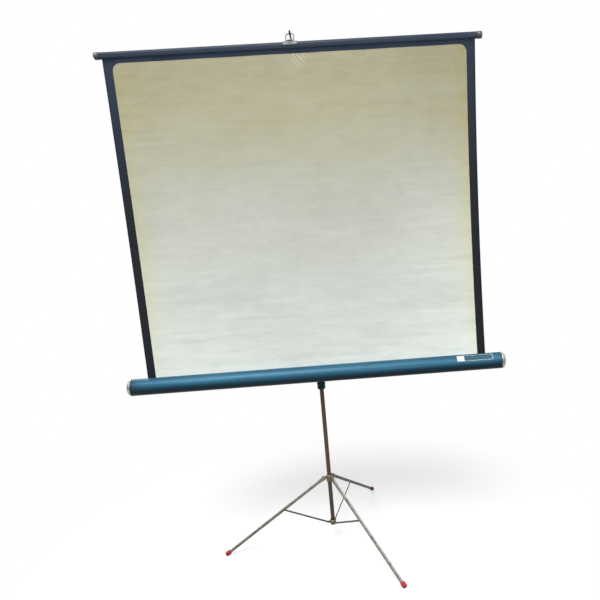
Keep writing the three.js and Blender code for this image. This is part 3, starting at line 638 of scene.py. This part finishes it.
def soften(bm, width, segments, least=0, edges=None):
    # rounds the edges that turn by more than an angle, or those given
    least = math.radians(least)
    chosen = edges or [e for e in bm.edges if len(e.link_faces) == 2 and e.calc_face_angle(0) > least]
    ops.bevel(bm, geom=chosen, offset=width, offset_type="OFFSET", segments=segments, profile=0.5,
              affect="EDGES", clamp_overlap=True, material=-1)


def softCopy(name, node, s, finish, body, slot):
    # a copy of a node with softened edges
    bm = cadCopy(node)
    soften(bm, s["edge"], 2, s["least"])
    addPiece(name, bm, finish, body, node, slot, 34)


def addPiece(name, bm, finish, body, node, slot, sharp=40, tidy=True):
    if tidy:
        ops.remove_doubles(bm, verts=bm.verts, dist=1e-6)
        ops.recalc_face_normals(bm, faces=bm.faces)
    mesh = bpy.data.meshes.new(name)
    bm.to_mesh(mesh)
    bm.free()
    for one in finish if isinstance(finish, list) else [finish]:
        mesh.materials.append(finishes[one])
    mesh.polygons.foreach_set("use_smooth", [True] * len(mesh.polygons))
    mesh.set_sharp_from_angle(angle=math.radians(sharp))
    piece = bpy.data.objects.new(name, mesh)
    scene.collection.objects.link(piece)
    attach(piece, body)
    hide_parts(node)
    return piece


postLow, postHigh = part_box("post_tube")
postAxis = Vector(((postLow.x + postHigh.x) / 2, (postLow.y + postHigh.y) / 2, 0))
caseLow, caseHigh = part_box("case_tube")
caseAxis = Vector((0, (caseLow.y + caseHigh.y) / 2, (caseLow.z + caseHigh.z) / 2))
slatLow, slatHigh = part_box("slat_tube")
slatRadius = (slatHigh.y - slatLow.y) / 2
slatAxis = Vector((0, (slatLow.y + slatHigh.y) / 2, slatHigh.z - slatRadius))
atPost = moved(postAxis)
ontoX = Matrix.Rotation(math.pi / 2, 4, "Y")  # turns Z to X
ontoY = Matrix.Rotation(-math.pi / 2, 4, "X")  # turns Z to Y


# screen surface

shiftSet = {
    "waves": [(0.6, 55, 0.00022), (1.2, 11, 0.00035), (5.0, 70, 0.00017)],  # across and up per metre, depth
    "belly": 0.001, "drawn": 0.0007, "drawnApart": 0.19, "drawnPhase": 0.8, "drawnFade": 0.1,
    "curl": 0.0022, "curlFrom": 0.93, "curlMean": 0.6, "curlWaves": 4, "curlSeed": 1.5,
    "heldLow": 0.03, "heldHigh": 0.02, "limit": 0.0009,
}


def clothShift(u, v, height, s, c):
    # how far a point of the sheet stands off its plane: roll-up ripples, creases at the bail, curled sides
    half, fromTop = clothSet["width"] / 2, height - v
    ripple = sum(depth * noise.noise((u * across, v * up, up)) for across, up, depth in s["waves"])
    belly = s["belly"] * math.sin(math.pi * v / height) * (1 - (u / half) ** 2)
    swing = math.sin(u * 2 * math.pi / s["drawnApart"] + s["drawnPhase"])
    drawn = s["drawn"] * math.exp(-fromTop / s["drawnFade"]) * swing
    curl = s["curl"] * max(0, abs(u) / half - s["curlFrom"]) / (1 - s["curlFrom"])
    curl *= s["curlMean"] + noise.noise((u, v * s["curlWaves"], s["curlSeed"]))
    along, square = creasePlace(u, fromTop, c)
    near = math.exp(-(square / c["wide"]) ** 2 - max(along, 0) / c["long"]) * min(1, fromTop / c["rise"])
    crease = c["deep"] * near * math.sin(square * 2 * math.pi / c["apart"])
    ease = min(1, v / s["heldLow"]) * min(1, fromTop / s["heldHigh"])  # straight in the slot and the slat
    return s["limit"] * math.tanh(((ripple + belly + drawn + curl) * ease + crease) / s["limit"])


def makeCloth(s):
    height = s["high"] - s["low"]
    plane = sum(corner.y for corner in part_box("screen_fabric")) / 2
    bm = bmesh.new()
    ops.create_grid(bm, x_segments=s["across"], y_segments=s["up"], size=0.5)
    uv = bm.loops.layers.uv.new("sheet")
    for face in bm.faces:
        for loop in face.loops:
            loop[uv].uv = loop.vert.co.xy + Vector((0.5, 0.5))
    for v in bm.verts:
        share, up = v.co.x, v.co.y + 0.5
        bow = 4 * up * (1 - up) * (s["waistLeft"] if share < 0 else -s["waistRight"])
        u = share * s["width"]
        shift = clothShift(u, up * height, height, shiftSet, creaseSet)
        v.co = (u + bow * abs(2 * share), plane + shift, s["low"] + up * height)
    bm.normal_update()
    if bm.faces[:][0].normal.y > 0:  # front faces look towards the viewer
        ops.reverse_faces(bm, faces=bm.faces)
    faces = ["cloth", "clothBack"]
    piece = addPiece("screenSheet", bm, faces, "case", "screen_fabric", "screen_cloth", 60, False)
    wall = piece.modifiers.new("thickness", "SOLIDIFY")
    wall.thickness, wall.offset = s["thick"], 0
    wall.material_offset, wall.material_offset_rim = 1, 1
    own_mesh(piece)


makeCloth(clothSet)
print("screen surface made")


# case

caseSet = {
    "radius": 0.026, "wall": 0.0012, "half": 0.5775, "bays": 24,
    "slot": (72.9, 418.3),  # degrees round the tube from its back, lip to lip
    "curl": 0.0015, "curlTurn": 150, "curlSteps": 8, "steps": 112,
    "neck": 0.0009, "neckLong": 0.0022,  # the tube draws in a little where the caps go on
}
sideNames = {-1: "left", 1: "right"}


def lippedRing(bm, radius, s):
    # an open ring about X, at the tube's left end, whose two edges are rolled inwards
    start, stop = (math.radians(a) for a in s["slot"])
    lips = []
    for angle, turn in ((start, -s["curlTurn"]), (stop, s["curlTurn"])):
        edge = Vector((0, radius * math.cos(angle), radius * math.sin(angle)))
        lips.append(bm.verts.new(edge))
        ops.spin(bm, geom=lips[-1:], cent=edge * (1 - s["curl"] / radius), axis=(1, 0, 0),
                 angle=math.radians(turn), steps=s["curlSteps"])
    ops.spin(bm, geom=lips[:1], cent=(0, 0, 0), axis=(1, 0, 0), angle=stop - start, steps=s["steps"])
    ops.remove_doubles(bm, verts=bm.verts, dist=1e-6)
    ops.translate(bm, vec=(-s["half"], 0, 0), verts=bm.verts)


def drawOut(bm, steps, axis, wall):
    # extrudes the ring along X in steps of a length and a growth, then gives the skin its wall
    edges = list(bm.edges)
    for far, grow in steps:
        made = ops.extrude_edge_only(bm, edges=edges)
        verts, edges = vertsOf(made), edgesOf(made)
        ops.translate(bm, vec=(far, 0, 0), verts=verts)
        ops.scale(bm, vec=(1, grow, grow), verts=verts)
    ops.translate(bm, vec=axis, verts=bm.verts)
    ops.recalc_face_normals(bm, faces=bm.faces)
    ops.solidify(bm, geom=list(bm.faces), thickness=wall)


def makeCase(s):
    bm = bmesh.new()
    lippedRing(bm, s["radius"], s)
    tuck = 1 - s["neck"] / s["radius"]
    ops.scale(bm, vec=(1, tuck, tuck), verts=bm.verts)
    bay = 2 * (s["half"] - s["neckLong"]) / s["bays"]
    steps = [(s["neckLong"], 1 / tuck)] + [(bay, 1.0)] * s["bays"] + [(s["neckLong"], tuck)]
    drawOut(bm, steps, caseAxis, s["wall"])
    addPiece("caseTube", bm, "blue", "case", "case_tube", "blue_paint")


capSet = {
    "face": 0.5778, "end": 0.5945, "radius": 0.026, "bead": 0.0003, "band": 0.0046, "domeIn": 0.0006,
    "inside": 0.0215, "floor": 0.0052, "spigot": 0.0242, "spigotLong": 0.009, "seat": 0.0002,
    "rim": [(0.0011, 0.0003), (0.0003, 0.0009), (0, 0.0016), (0, 0.003), (0.0003, 0.0038), (0.0007, 0.0041)],
}


def sleeve(bore, radius, low, high, foot, mouth, between=()):
    # a tube's section, with a bevel at each end given as how far in and how far along
    return [(bore, low), (radius - foot[0], low), (radius, low + foot[1]), *between,
            (radius, high - mouth[1]), (radius - mouth[0], high), (bore, high), (bore, low)]


def inFrom(edge, pairs, base=0, way=1):
    # pairs of how far in from an edge and how far from a base, as pairs of radius and height
    return [(edge - inset, base + way * far) for inset, far in pairs]


def capPlace(axis, side, far):
    # where a turned cap goes on an end of a level tube
    way = ontoX if side > 0 else Matrix.Rotation(math.pi, 4, "Z") @ ontoX
    return moved(axis + Vector((side * far, 0, 0))) @ way


def makeCap(s, side):
    deep = s["end"] - s["face"]
    dome = roundOff((0, s["band"]), (s["radius"] - s["domeIn"], deep - s["band"]), 0, 90, 14)
    profile = [
        (0, s["floor"]), (s["inside"], s["floor"]), (s["inside"], -s["spigotLong"]),
        (s["spigot"], -s["spigotLong"]), (s["spigot"], s["seat"]),
        *inFrom(s["radius"] + s["bead"], s["rim"]), *dome[:-1], (0.0, deep),
    ]
    name = sideNames[side]
    turnedPiece("caseCap." + name, profile, capPlace(caseAxis, side, s["face"]), "cap",
                "nickel", "case", "case_cap_" + name, "bright_cap", 42)


plateSet = {
    "from": 0.4365, "to": 0.5495,
    "start": 110.0, "stop": 155.0, "steps": 14,  # degrees round the case from its back
    "clear": 0.0001, "thick": 0.00045, "rim": 0.0011, "rise": 0.00022, "panel": 0.021, "rib": 0.0012,
}


def makePlate(s):
    # a bare plate, bent to the case, with a raised rim and a plain pale panel at one end
    bm = bmesh.new()
    spots = [s["from"], s["from"] + s["panel"], s["from"] + s["panel"] + s["rib"], s["to"]]
    bentStrip(bm, caseSet["radius"] + s["clear"], spots, s["start"], s["stop"], s["steps"])
    faceOut(bm)
    faces = [(f, f.calc_center_median().x) for f in bm.faces]
    pale = [f for f, x in faces if x < spots[1]]
    blank = [f for f, x in faces if x > spots[2]]
    for f, x in faces:
        f.material_index = 1  # the rim, the rib between the panels and the pale panel
    for group in (pale, blank):
        ops.inset_region(bm, faces=group, thickness=s["rim"], depth=-s["rise"], use_even_offset=True,
                         use_boundary=True)
    for f in blank:
        f.material_index = 0
    ops.solidify(bm, geom=list(bm.faces), thickness=-s["thick"])
    ops.translate(bm, vec=caseAxis, verts=bm.verts)
    addPiece("casePlate", bm, ["plate", "platePale"], "case", "label_plate", "plain_steel", 30)


saddleSet = {
    "edge": 0.0009, "rivetOut": 0.0235, "rivetUp": 0.0105, "rivetBack": 0.0278,
    "rivet": [(0, -0.0015), (0.0026, -0.0015), (0.0026, 0.0004), (0.0019, 0.0012), (0.0, 0.0016)],
}


def makePivotSaddle(s):
    bm = cadCopy("pivot_saddle")
    soften(bm, s["edge"], 3, 50)
    for side in (-1, 1):  # four rivet heads on the saddle's back
        for up in (-1, 1):
            spot = caseAxis + Vector((side * s["rivetOut"], s["rivetBack"], up * s["rivetUp"]))
            lathe(bm, s["rivet"], moved(spot) @ ontoY, "rivet")
    addPiece("pivotSaddle", bm, "deepBlue", "case", "pivot_saddle", "blue_paint")


makeCase(caseSet)
for side in sideNames:
    makeCap(capSet, side)
makePlate(plateSet)
makePivotSaddle(saddleSet)
print("case made")


# slat, its caps, saddle and bail

slatSet = {
    "half": 0.5485, "wall": 0.001, "bays": 16, "slot": (-80.9, 260.9),
    "curl": 0.0003, "curlTurn": 95, "curlSteps": 5, "steps": 64,
}


def makeSlat(s):
    bm = bmesh.new()
    lippedRing(bm, slatRadius, s)
    drawOut(bm, [(2 * s["half"] / s["bays"], 1.0)] * s["bays"], slatAxis, s["wall"])
    addPiece("slatTube", bm, "navy", "slat", "slat_tube", "navy_paint")


slatCapSet = {
    "skirt": 0.5402, "end": 0.5538, "inner": 0.00965, "outer": 0.01025, "plug": 0.009,
    "bead": [(0.0002, 0), (0, 0.0003), (0, 0.0012), (0.0003, 0.0016), (0.0003, 0.0024), (0, 0.0028)],
    "crown": [(0, 0.0032), (0.0004, 0.0018), (0.0014, 0.0007), (0.003, 0.0001), (0.0045, 0),
              (0.00745, 0.0002), (0.00785, 0.0008), (0.01025, 0.0009)],  # down to the dimple in its middle
}


def makeSlatCap(s, side):
    deep = s["end"] - s["skirt"]
    profile = [
        (0, s["plug"]), (s["inner"], s["plug"]), (s["inner"], 0), *inFrom(s["outer"], s["bead"]),
        *inFrom(s["outer"], s["crown"], deep, -1),
    ]
    name = sideNames[side]
    turnedPiece("slatCap." + name, profile, capPlace(slatAxis, side, s["skirt"]), "sleeve",
                "slatCap", "slat", "slat_cap_" + name, "plated_leg")


bailSaddleSet = {
    "half": 0.02, "bays": 16, "from": -8.0, "to": 188.0, "steps": 18,
    "inner": 0.0098, "thick": 0.0013, "corner": 0.002025,
    "barrel": 0.0027, "barrelHalf": 0.0055, "barrelEdge": (0.0003, 0.0003), "bore": 0.0014, "rise": 0.0136,
    "screwAt": 0.0135, "screwSunk": 0.0006,
    "screw": [(0, -0.0006), (0.0027, -0.0006), (0.0027, 0.0006), (0.0022, 0.0013), (0.0012, 0.0018),
              (0.0006, 0.0019), (0.0005, 0.0013), (0, 0.0013)],
}


def makeBailSaddle(s):
    bm = bmesh.new()
    spots = [s["half"] * (2 * i / s["bays"] - 1) for i in range(s["bays"] + 1)]
    bentStrip(bm, s["inner"], spots, s["from"], s["to"], s["steps"])
    corners = [v for v in bm.verts if len(v.link_faces) == 1]
    ops.bevel(bm, geom=corners, offset=s["corner"], offset_type="OFFSET", segments=4, profile=0.5,
              affect="VERTICES", material=-1)
    faceOut(bm)
    ops.solidify(bm, geom=list(bm.faces), thickness=-s["thick"])
    half, edge = s["barrelHalf"], s["barrelEdge"]
    barrel = sleeve(s["bore"], s["barrel"], -half, half, edge, edge)
    lathe(bm, barrel, moved((0, 0, s["rise"])) @ ontoX, "barrel")
    top = s["inner"] + s["thick"] - s["screwSunk"]
    for side in (-1, 1):  # domed screw heads
        lathe(bm, s["screw"], moved((side * s["screwAt"], 0, top)), "screw")
    ops.translate(bm, vec=slatAxis, verts=bm.verts)
    addPiece("bailSaddle", bm, "zinc", "slat", "bail_saddle", "bright_cap")


bailSet = {"wire": 0.0013, "half": 0.0115, "corner": 0.003, "low": 0.0035, "lift": 0.0004}


def makeBail(s):
    foot = slatAxis + Vector((0, 0, bailSaddleSet["rise"]))
    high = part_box("bail_wire")[1]
    top = Vector((0, high.y - s["wire"], high.z - s["wire"] + s["lift"]))
    lean = top - foot
    tall, up, across = lean.length, lean.normalized(), Vector((1, 0, 0))
    half, corner = s["half"], s["corner"]
    path = [foot, foot + across * s["low"]]
    path += arcPath(foot + across * (half - corner) + up * corner, across * corner, up * corner, -90, 0, 6)
    path += arcPath(foot + up * (tall - half), across * half, up * half, 0, 180, 26)
    path += arcPath(foot - across * (half - corner) + up * corner, across * corner, up * corner, 180, 270, 6)
    path += [foot - across * s["low"], foot]
    bm = bmesh.new()
    sweep(bm, path, [s["wire"]] * len(path), 12, True)
    addPiece("bailWire", bm, "wire", "bail", "bail_wire", "plain_steel", 60)


makeSlat(slatSet)
for side in sideNames:
    makeSlatCap(slatCapSet, side)
makeBailSaddle(bailSaddleSet)
makeBail(bailSet)
print("slat and bail made")


# post, rod, hook, clamp and knob

postSet = {
    "radius": 0.0069, "wall": 0.001, "bead": 0.0013, "beadTop": 0.2137, "beadLong": 0.004, "beadSteps": 8,
    "foot": (0.0003, 0.0004), "mouth": (0.0004, 0.0005), "bays": 12, "clear": 0.01,
}


def makePost(s):
    low, high, r, top, count = postLow.z, postHigh.z, s["radius"], s["beadTop"], s["beadSteps"]
    swell = [(r + s["bead"] * math.sin(math.pi * i / count), top - s["beadLong"] * (1 - i / count))
             for i in range(count + 1)]
    joins = [low + (high - low) * i / s["bays"] for i in range(1, s["bays"])]
    wall = [(r, z) for z in joins if z > top + s["clear"]]
    profile = sleeve(r - s["wall"], r, low, high, s["foot"], s["mouth"], swell + wall)
    turnedPiece("postTube", profile, atPost, "tube", "bronze", "post", "post_tube", "bronze_paint", 50)


clampSet = {
    "radius": 0.01, "bore": 0.0072, "edge": (0.0012, 0.0012), "waist": [(0, 0.0042), (0.0006, 0.0048)],
    "boss": 0.0055, "bossStart": 0.0072, "bossEnd": 0.013, "bossEdge": 0.0008,
    "screwHole": 0.00225, "screwZ": 1.139,
}


def makeClamp(s):
    low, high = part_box("clamp_collar")
    bm = bmesh.new()
    waist = inFrom(s["radius"], s["waist"], low.z) + inFrom(s["radius"], s["waist"][::-1], high.z, -1)
    profile = sleeve(s["bore"], s["radius"], low.z, high.z, s["edge"], s["edge"], waist)
    lathe(bm, profile, atPost, "tube")
    hole, boss, start, end = s["screwHole"], s["boss"], s["bossStart"], s["bossEnd"]
    edge = s["bossEdge"]
    profile = [(hole, start), (boss, start), (boss, end - edge), (boss - edge, end), (hole, end),
               (hole, start)]
    lathe(bm, profile, moved((0, postAxis.y, s["screwZ"])) @ ontoY, "rod")
    addPiece("clampCollar", bm, "bronze", "post", "clamp_collar", "bronze_paint")


knobSet = {"edge": 0.0005, "least": 32}


def makeKnob(s):
    softCopy("lockKnob", "lock_knob", s, "knob", "knob", "knob_plastic")


rodSet = {"radius": 0.004, "bore": 0.0031, "bays": 8, "foot": (0.0002, 0.0003), "mouth": (0.0005, 0.0004)}


def makeRod(s):
    low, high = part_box("extension_rod")
    joins = [(s["radius"], low.z + (high.z - low.z) * i / s["bays"]) for i in range(1, s["bays"])]
    profile = sleeve(s["bore"], s["radius"], low.z, high.z, s["foot"], s["mouth"], joins)
    turnedPiece("extensionRod", profile, atPost, "rod", "rod", "rod", "extension_rod", "dark_steel", 50)


hookSet = {
    "radius": 0.0029, "low": 1.56, "straight": 0.02, "lead": 0.001, "level": 1.608,
    "bend": 0.008, "reach": 0.033, "top": 1.6195,
    "tip": [(0.0022, 0.94), (0.0008, 0.7), (0, 0.3)],  # below the top, and share of the radius
}


def makeHook(s):
    fore, up = Vector((0, -1, 0)), Vector((0, 0, 1))
    base, bend, reach, level = postAxis, s["bend"], s["reach"], s["level"]
    path = [base + up * z for z in (s["low"], s["low"] + s["straight"], level - bend - s["lead"])]
    path += arcPath(base + up * (level - bend) + fore * bend, -fore * bend, up * bend, 0, 90, 10)
    path += arcPath(base + up * (level + bend) + fore * (reach - bend), -up * bend, fore * bend, 0, 90, 10)
    radii = [s["radius"]] * len(path) + [s["radius"] * share for drop, share in s["tip"]]
    path += [base + fore * reach + up * (s["top"] - drop) for drop, share in s["tip"]]
    bm = bmesh.new()
    sweep(bm, path, radii, 18)
    addPiece("rodHook", bm, "rod", "rod", "rod_hook", "dark_steel", 60)


bracketSet = {
    "radius": 0.013, "bore": 0.0072, "low": 0.538, "high": 0.628, "round": 0.0042, "headRound": 0.0025,
    "ring": [(0, 0.016), (-0.0006, 0.0168), (-0.0006, 0.0192), (0, 0.02)],  # in from the side, above the foot
    "boss": 0.015, "bossRoot": [(0.0035, -0.0085), (0.003, -0.013), (0, -0.0165)], "bossEdge": 0.001,
    "hole": 0.00525,
    "screw": [(0, -0.001), (0.0031, -0.001), (0.0031, 0.0012), (0.0024, 0.0021), (0.0007, 0.0023),
              (0.0006, 0.0016), (0, 0.0016)],
    "screwLow": 0.01, "screwHigh": 0.008, "screwSunk": 0.0007,
}


def makeBracket(s):
    bm = bmesh.new()
    r, bore, low, high = s["radius"], s["bore"], s["low"], s["high"]
    turn, crown = s["round"], s["headRound"]
    foot = roundOff((r - turn, low + turn), (turn, turn), -90, 0, 6)
    head = roundOff((r - crown, high - crown), (crown, crown), 0, 90, 4)
    ring = inFrom(r, s["ring"], low)
    lathe(bm, [(bore, low), *foot, *ring, *head, (bore, high), (bore, low)], atPost, "sleeve")
    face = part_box("case_bracket")[0].y - postAxis.y
    boss, hole, edge = s["boss"], s["hole"], s["bossEdge"]
    root = s["bossRoot"][0][1]
    profile = [(hole, root), *inFrom(boss, s["bossRoot"]), (boss, face + edge), (boss - edge, face),
               (hole, face), (hole, root)]
    lathe(bm, profile, moved((postAxis.x, postAxis.y, caseAxis.z)) @ ontoY, "sleeve")
    for z in (low + s["screwLow"], high - s["screwHigh"]):  # clamp screws at the sleeve's back
        place = moved((0, postAxis.y + r - s["screwSunk"], z)) @ ontoY
        lathe(bm, s["screw"], place, "screw")
    addPiece("caseBracket", bm, "deepBlue", "post", "case_bracket", "blue_paint")


makePost(postSet)
makeClamp(clampSet)
makeKnob(knobSet)
makeRod(rodSet)
makeHook(hookSet)
makeBracket(bracketSet)
print("post and rod made")


# tripod

tripodSet = {
    "azimuths": {"rear": 67.0, "left": 187.0, "right": 307.0}, "slope": 33.0,
    "pinOut": 0.019, "pinZ": 0.227, "hubOut": 0.017, "hubZ": 0.067,
    "width": 0.0062, "depth": 0.009, "web": 0.0052, "near": 2e-5,
    "fold": 0.0016, "foldLeast": 0.006, "edge": 0.00025, "flank": 0.8,
    "legPin": 0.0016, "bracePin": 0.0012, "braceAt": 0.1695, "braceDrop": 0.001,
    "pinHead": 1.75, "pinRise": 0.62, "pinClear": 0.0002,  # a head's radius and height by the pin's radius
}


def radial(azimuth):
    return atPost @ Matrix.Rotation(math.radians(azimuth), 4, "Z")


def legFrame(s, azimuth):
    # X runs down the leg from its pin and Z is square to it, upwards
    down = Matrix.Rotation(math.radians(s["slope"]), 4, "Y")
    return radial(azimuth) @ moved((s["pinOut"], 0, s["pinZ"])) @ down


def makeLeg(s, side, azimuth):
    bm = cadCopy("leg_" + side)
    place = legFrame(s, azimuth)
    ops.transform(bm, matrix=place.inverted(), verts=bm.verts)
    half, top = s["width"] / 2, s["depth"] / 2 - s["near"]

    def onFold(v):
        return abs(abs(v.co.y) - half) < s["near"] and v.co.z > top and v.co.x > s["web"] - 5 * s["near"]

    folds = [e for e in bm.edges if all(map(onFold, e.verts)) and e.calc_length() > s["foldLeast"]]
    soften(bm, s["fold"], 4, edges=folds)
    soften(bm, s["edge"], 2, 50)
    bm.normal_update()
    for f in bm.faces:  # the sides get a darker copy of the plating than the top, as painted shade
        f.material_index = 1 if abs(f.normal.y) > s["flank"] else 0
    ops.transform(bm, matrix=place, verts=bm.verts)
    addPiece("leg." + side, bm, ["plated", "dulled"], "leg_" + side, "leg_" + side, "plated_leg", 32)


def rivetShape(s, radius):
    # a pin with a domed head at each end
    half, clear = s["width"] / 2 + s["pinClear"], s["pinClear"]
    head, rise = radius * s["pinHead"], radius * s["pinRise"]
    dome = roundOff((0, half + clear), (head, rise), 0, 90, 5)
    upper = [(radius, half), (head, half), *dome[:-1], (0, dome[-1][1])]
    return [(r, -z) for r, z in reversed(upper)] + upper


def makePins(s, side, azimuth):
    across = Matrix.Rotation(math.pi / 2, 4, "X")
    for label, node, radius, spot, body in (
        ("legRivet.", "leg_pin_", s["legPin"], (0, 0, 0), "collar"),
        ("braceRivet.", "brace_pin_", s["bracePin"], (s["braceAt"], 0, -s["braceDrop"]), "leg_" + side),
    ):
        place = legFrame(s, azimuth) @ moved(spot) @ across
        turnedPiece(label + side, rivetShape(s, radius), place, "screw",
                    "olive", body, node + side, "olive_casting")


tipSet = {
    "end": 0.41075, "long": 0.018, "radius": 0.0075, "round": 0.0048,
    "bore": 0.0058, "deep": 0.012, "lip": 0.0066, "groove": 0.0005,
    "ring": [(0, 0.0042), (0, 0.0052), (0.0005, 0.0057), (0.0005, 0.0062), (0, 0.0067)],
}


def makeTip(t, s, side, azimuth):
    # rubber tip: rolled mouth, one groove, well rounded end and a flat where it stands
    bm = bmesh.new()
    r, long, turn, g = t["radius"], t["long"], t["round"], t["groove"]
    bore, lip, deep = t["bore"], t["lip"], t["deep"]
    mouth = [(0, deep), (bore, deep), (bore, g), (bore + g / 2, 0), (lip - g, 0), (lip, g), (lip, 3 * g),
             (lip + g, 5 * g), (r - g / 2, 7 * g)]
    end = roundOff((r - turn, long - turn), (turn, turn), 0, 90, 9)
    profile = mouth + inFrom(r, t["ring"]) + end + [(0, long)]
    start = moved((t["end"] - long, 0, 0))
    lathe(bm, profile, legFrame(s, azimuth) @ start @ ontoX, "sleeve")
    whole = bm.verts[:] + bm.edges[:] + bm.faces[:]
    made = ops.bisect_plane(bm, geom=whole, plane_co=(0, 0, 0), plane_no=(0, 0, -1), clear_outer=True)
    ops.holes_fill(bm, edges=edgesOf({"geom": made["geom_cut"]}), sides=0)
    addPiece("footTip." + side, bm, "red", "leg_" + side, "foot_tip_" + side, "red_rubber")


braceSet = {"edge": 0.0003, "least": 50}


def makeBrace(s, side):
    softCopy("brace." + side, "brace_" + side, s, "strip", "brace_" + side, "dark_steel")


hubSet = {
    "radius": 0.01, "bore": 0.0072, "floor": 0.0597,
    "cup": [(0.0045, 0), (0.0025, 0.0006), (0.0009, 0.0019), (0, 0.0045)],  # in from the side, above the foot
    "lip": [(0, 0.0052), (-0.0007, 0.0046), (-0.0007, 0.0014), (0.0006, 0)],  # the same, below the mouth
    "cheek": 0.0032, "thick": 0.0009, "apart": 0.0009, "start": 0.0075, "head": 0.0018, "rise": 0.00025,
    "headShape": [(1, 0.7), (0.7, 0.92), (0, 1)], "headRoot": 0.2,
}


def makeHub(h, s):
    # cup at the post's foot with three pairs of cheeks
    low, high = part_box("lower_hub")
    bm = bmesh.new()
    r, bore, floor = h["radius"], h["bore"], h["floor"]
    cup, lip = inFrom(r, h["cup"], low.z), inFrom(r, h["lip"], high.z, -1)
    profile = [(0, low.z), *cup, *lip, (bore, high.z), (bore, floor), (0, floor)]
    lathe(bm, profile, atPost, "sleeve")
    root, crown = h["thick"] * h["headRoot"], h["thick"] / 2 + h["rise"]
    head = [(0, root), (h["head"], root)] + [(h["head"] * out, crown * up) for out, up in h["headShape"]]
    for azimuth in s["azimuths"].values():
        for way in (-1, 1):
            face = way * (h["apart"] + h["thick"] / 2)
            place = radial(azimuth) @ moved((h["start"], face, s["hubZ"]))
            tongue(bm, h["cheek"], s["hubOut"] - h["start"], h["thick"], place)
            outer = radial(azimuth) @ moved((s["hubOut"], face, s["hubZ"])) @ ontoY
            if way < 0:
                outer = outer @ Matrix.Rotation(math.pi, 4, "X")
            lathe(bm, head, outer, "rivet")
    addPiece("lowerHub", bm, "olive", "post", "lower_hub", "olive_casting", 38)


collarSet = {
    "radius": 0.01, "bore": 0.0072, "lug": 0.0038, "lugRise": 0.0053, "thick": 0.0041, "start": 0.0075,
    "foot": (0.0015, 0.0015), "mouth": (0.0018, 0.0018),
    "groove": [(0, 0.0075), (0.0006, 0.0068), (0.0006, 0.0055), (0, 0.0048)],  # in, and below the mouth
}


def makeCollar(c, s):
    # sliding collar with a grooved skirt and a lug for each leg
    low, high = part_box("leg_collar")
    bm = bmesh.new()
    groove = inFrom(c["radius"], c["groove"], high.z, -1)
    profile = sleeve(c["bore"], c["radius"], low.z, high.z, c["foot"], c["mouth"], groove)
    lathe(bm, profile, atPost, "sleeve")
    for azimuth in s["azimuths"].values():
        place = radial(azimuth) @ moved((c["start"], 0, s["pinZ"]))
        tongue(bm, c["lug"], s["pinOut"] - c["start"], c["thick"], place, c["lugRise"])
    addPiece("legCollar", bm, "olive", "collar", "leg_collar", "olive_casting", 38)


for side, azimuth in tripodSet["azimuths"].items():
    makeLeg(tripodSet, side, azimuth)
    makePins(tripodSet, side, azimuth)
    makeTip(tipSet, tripodSet, side, azimuth)
    makeBrace(braceSet, side)
makeHub(hubSet, tripodSet)
makeCollar(collarSet, tripodSet)
print("tripod made")


# inner pieces keep their solids and get their finishes

innerFinishes = {
    "roller_tube": "card", "roller_plug_left": "steel", "roller_plug_right": "steel", "spring_arbor": "steel",
    "arbor_bush": "steel", "roller_spring": "dark", "fabric_wrap": "wrap", "hem_dowel": "wood",
    "rod_bush": "steel", "rod_guide": "steel",
}
for node, finish in innerFinishes.items():
    for holder in cadNodes[node].material_slots:
        holder.material = finishes[finish]
print("inner pieces finished")
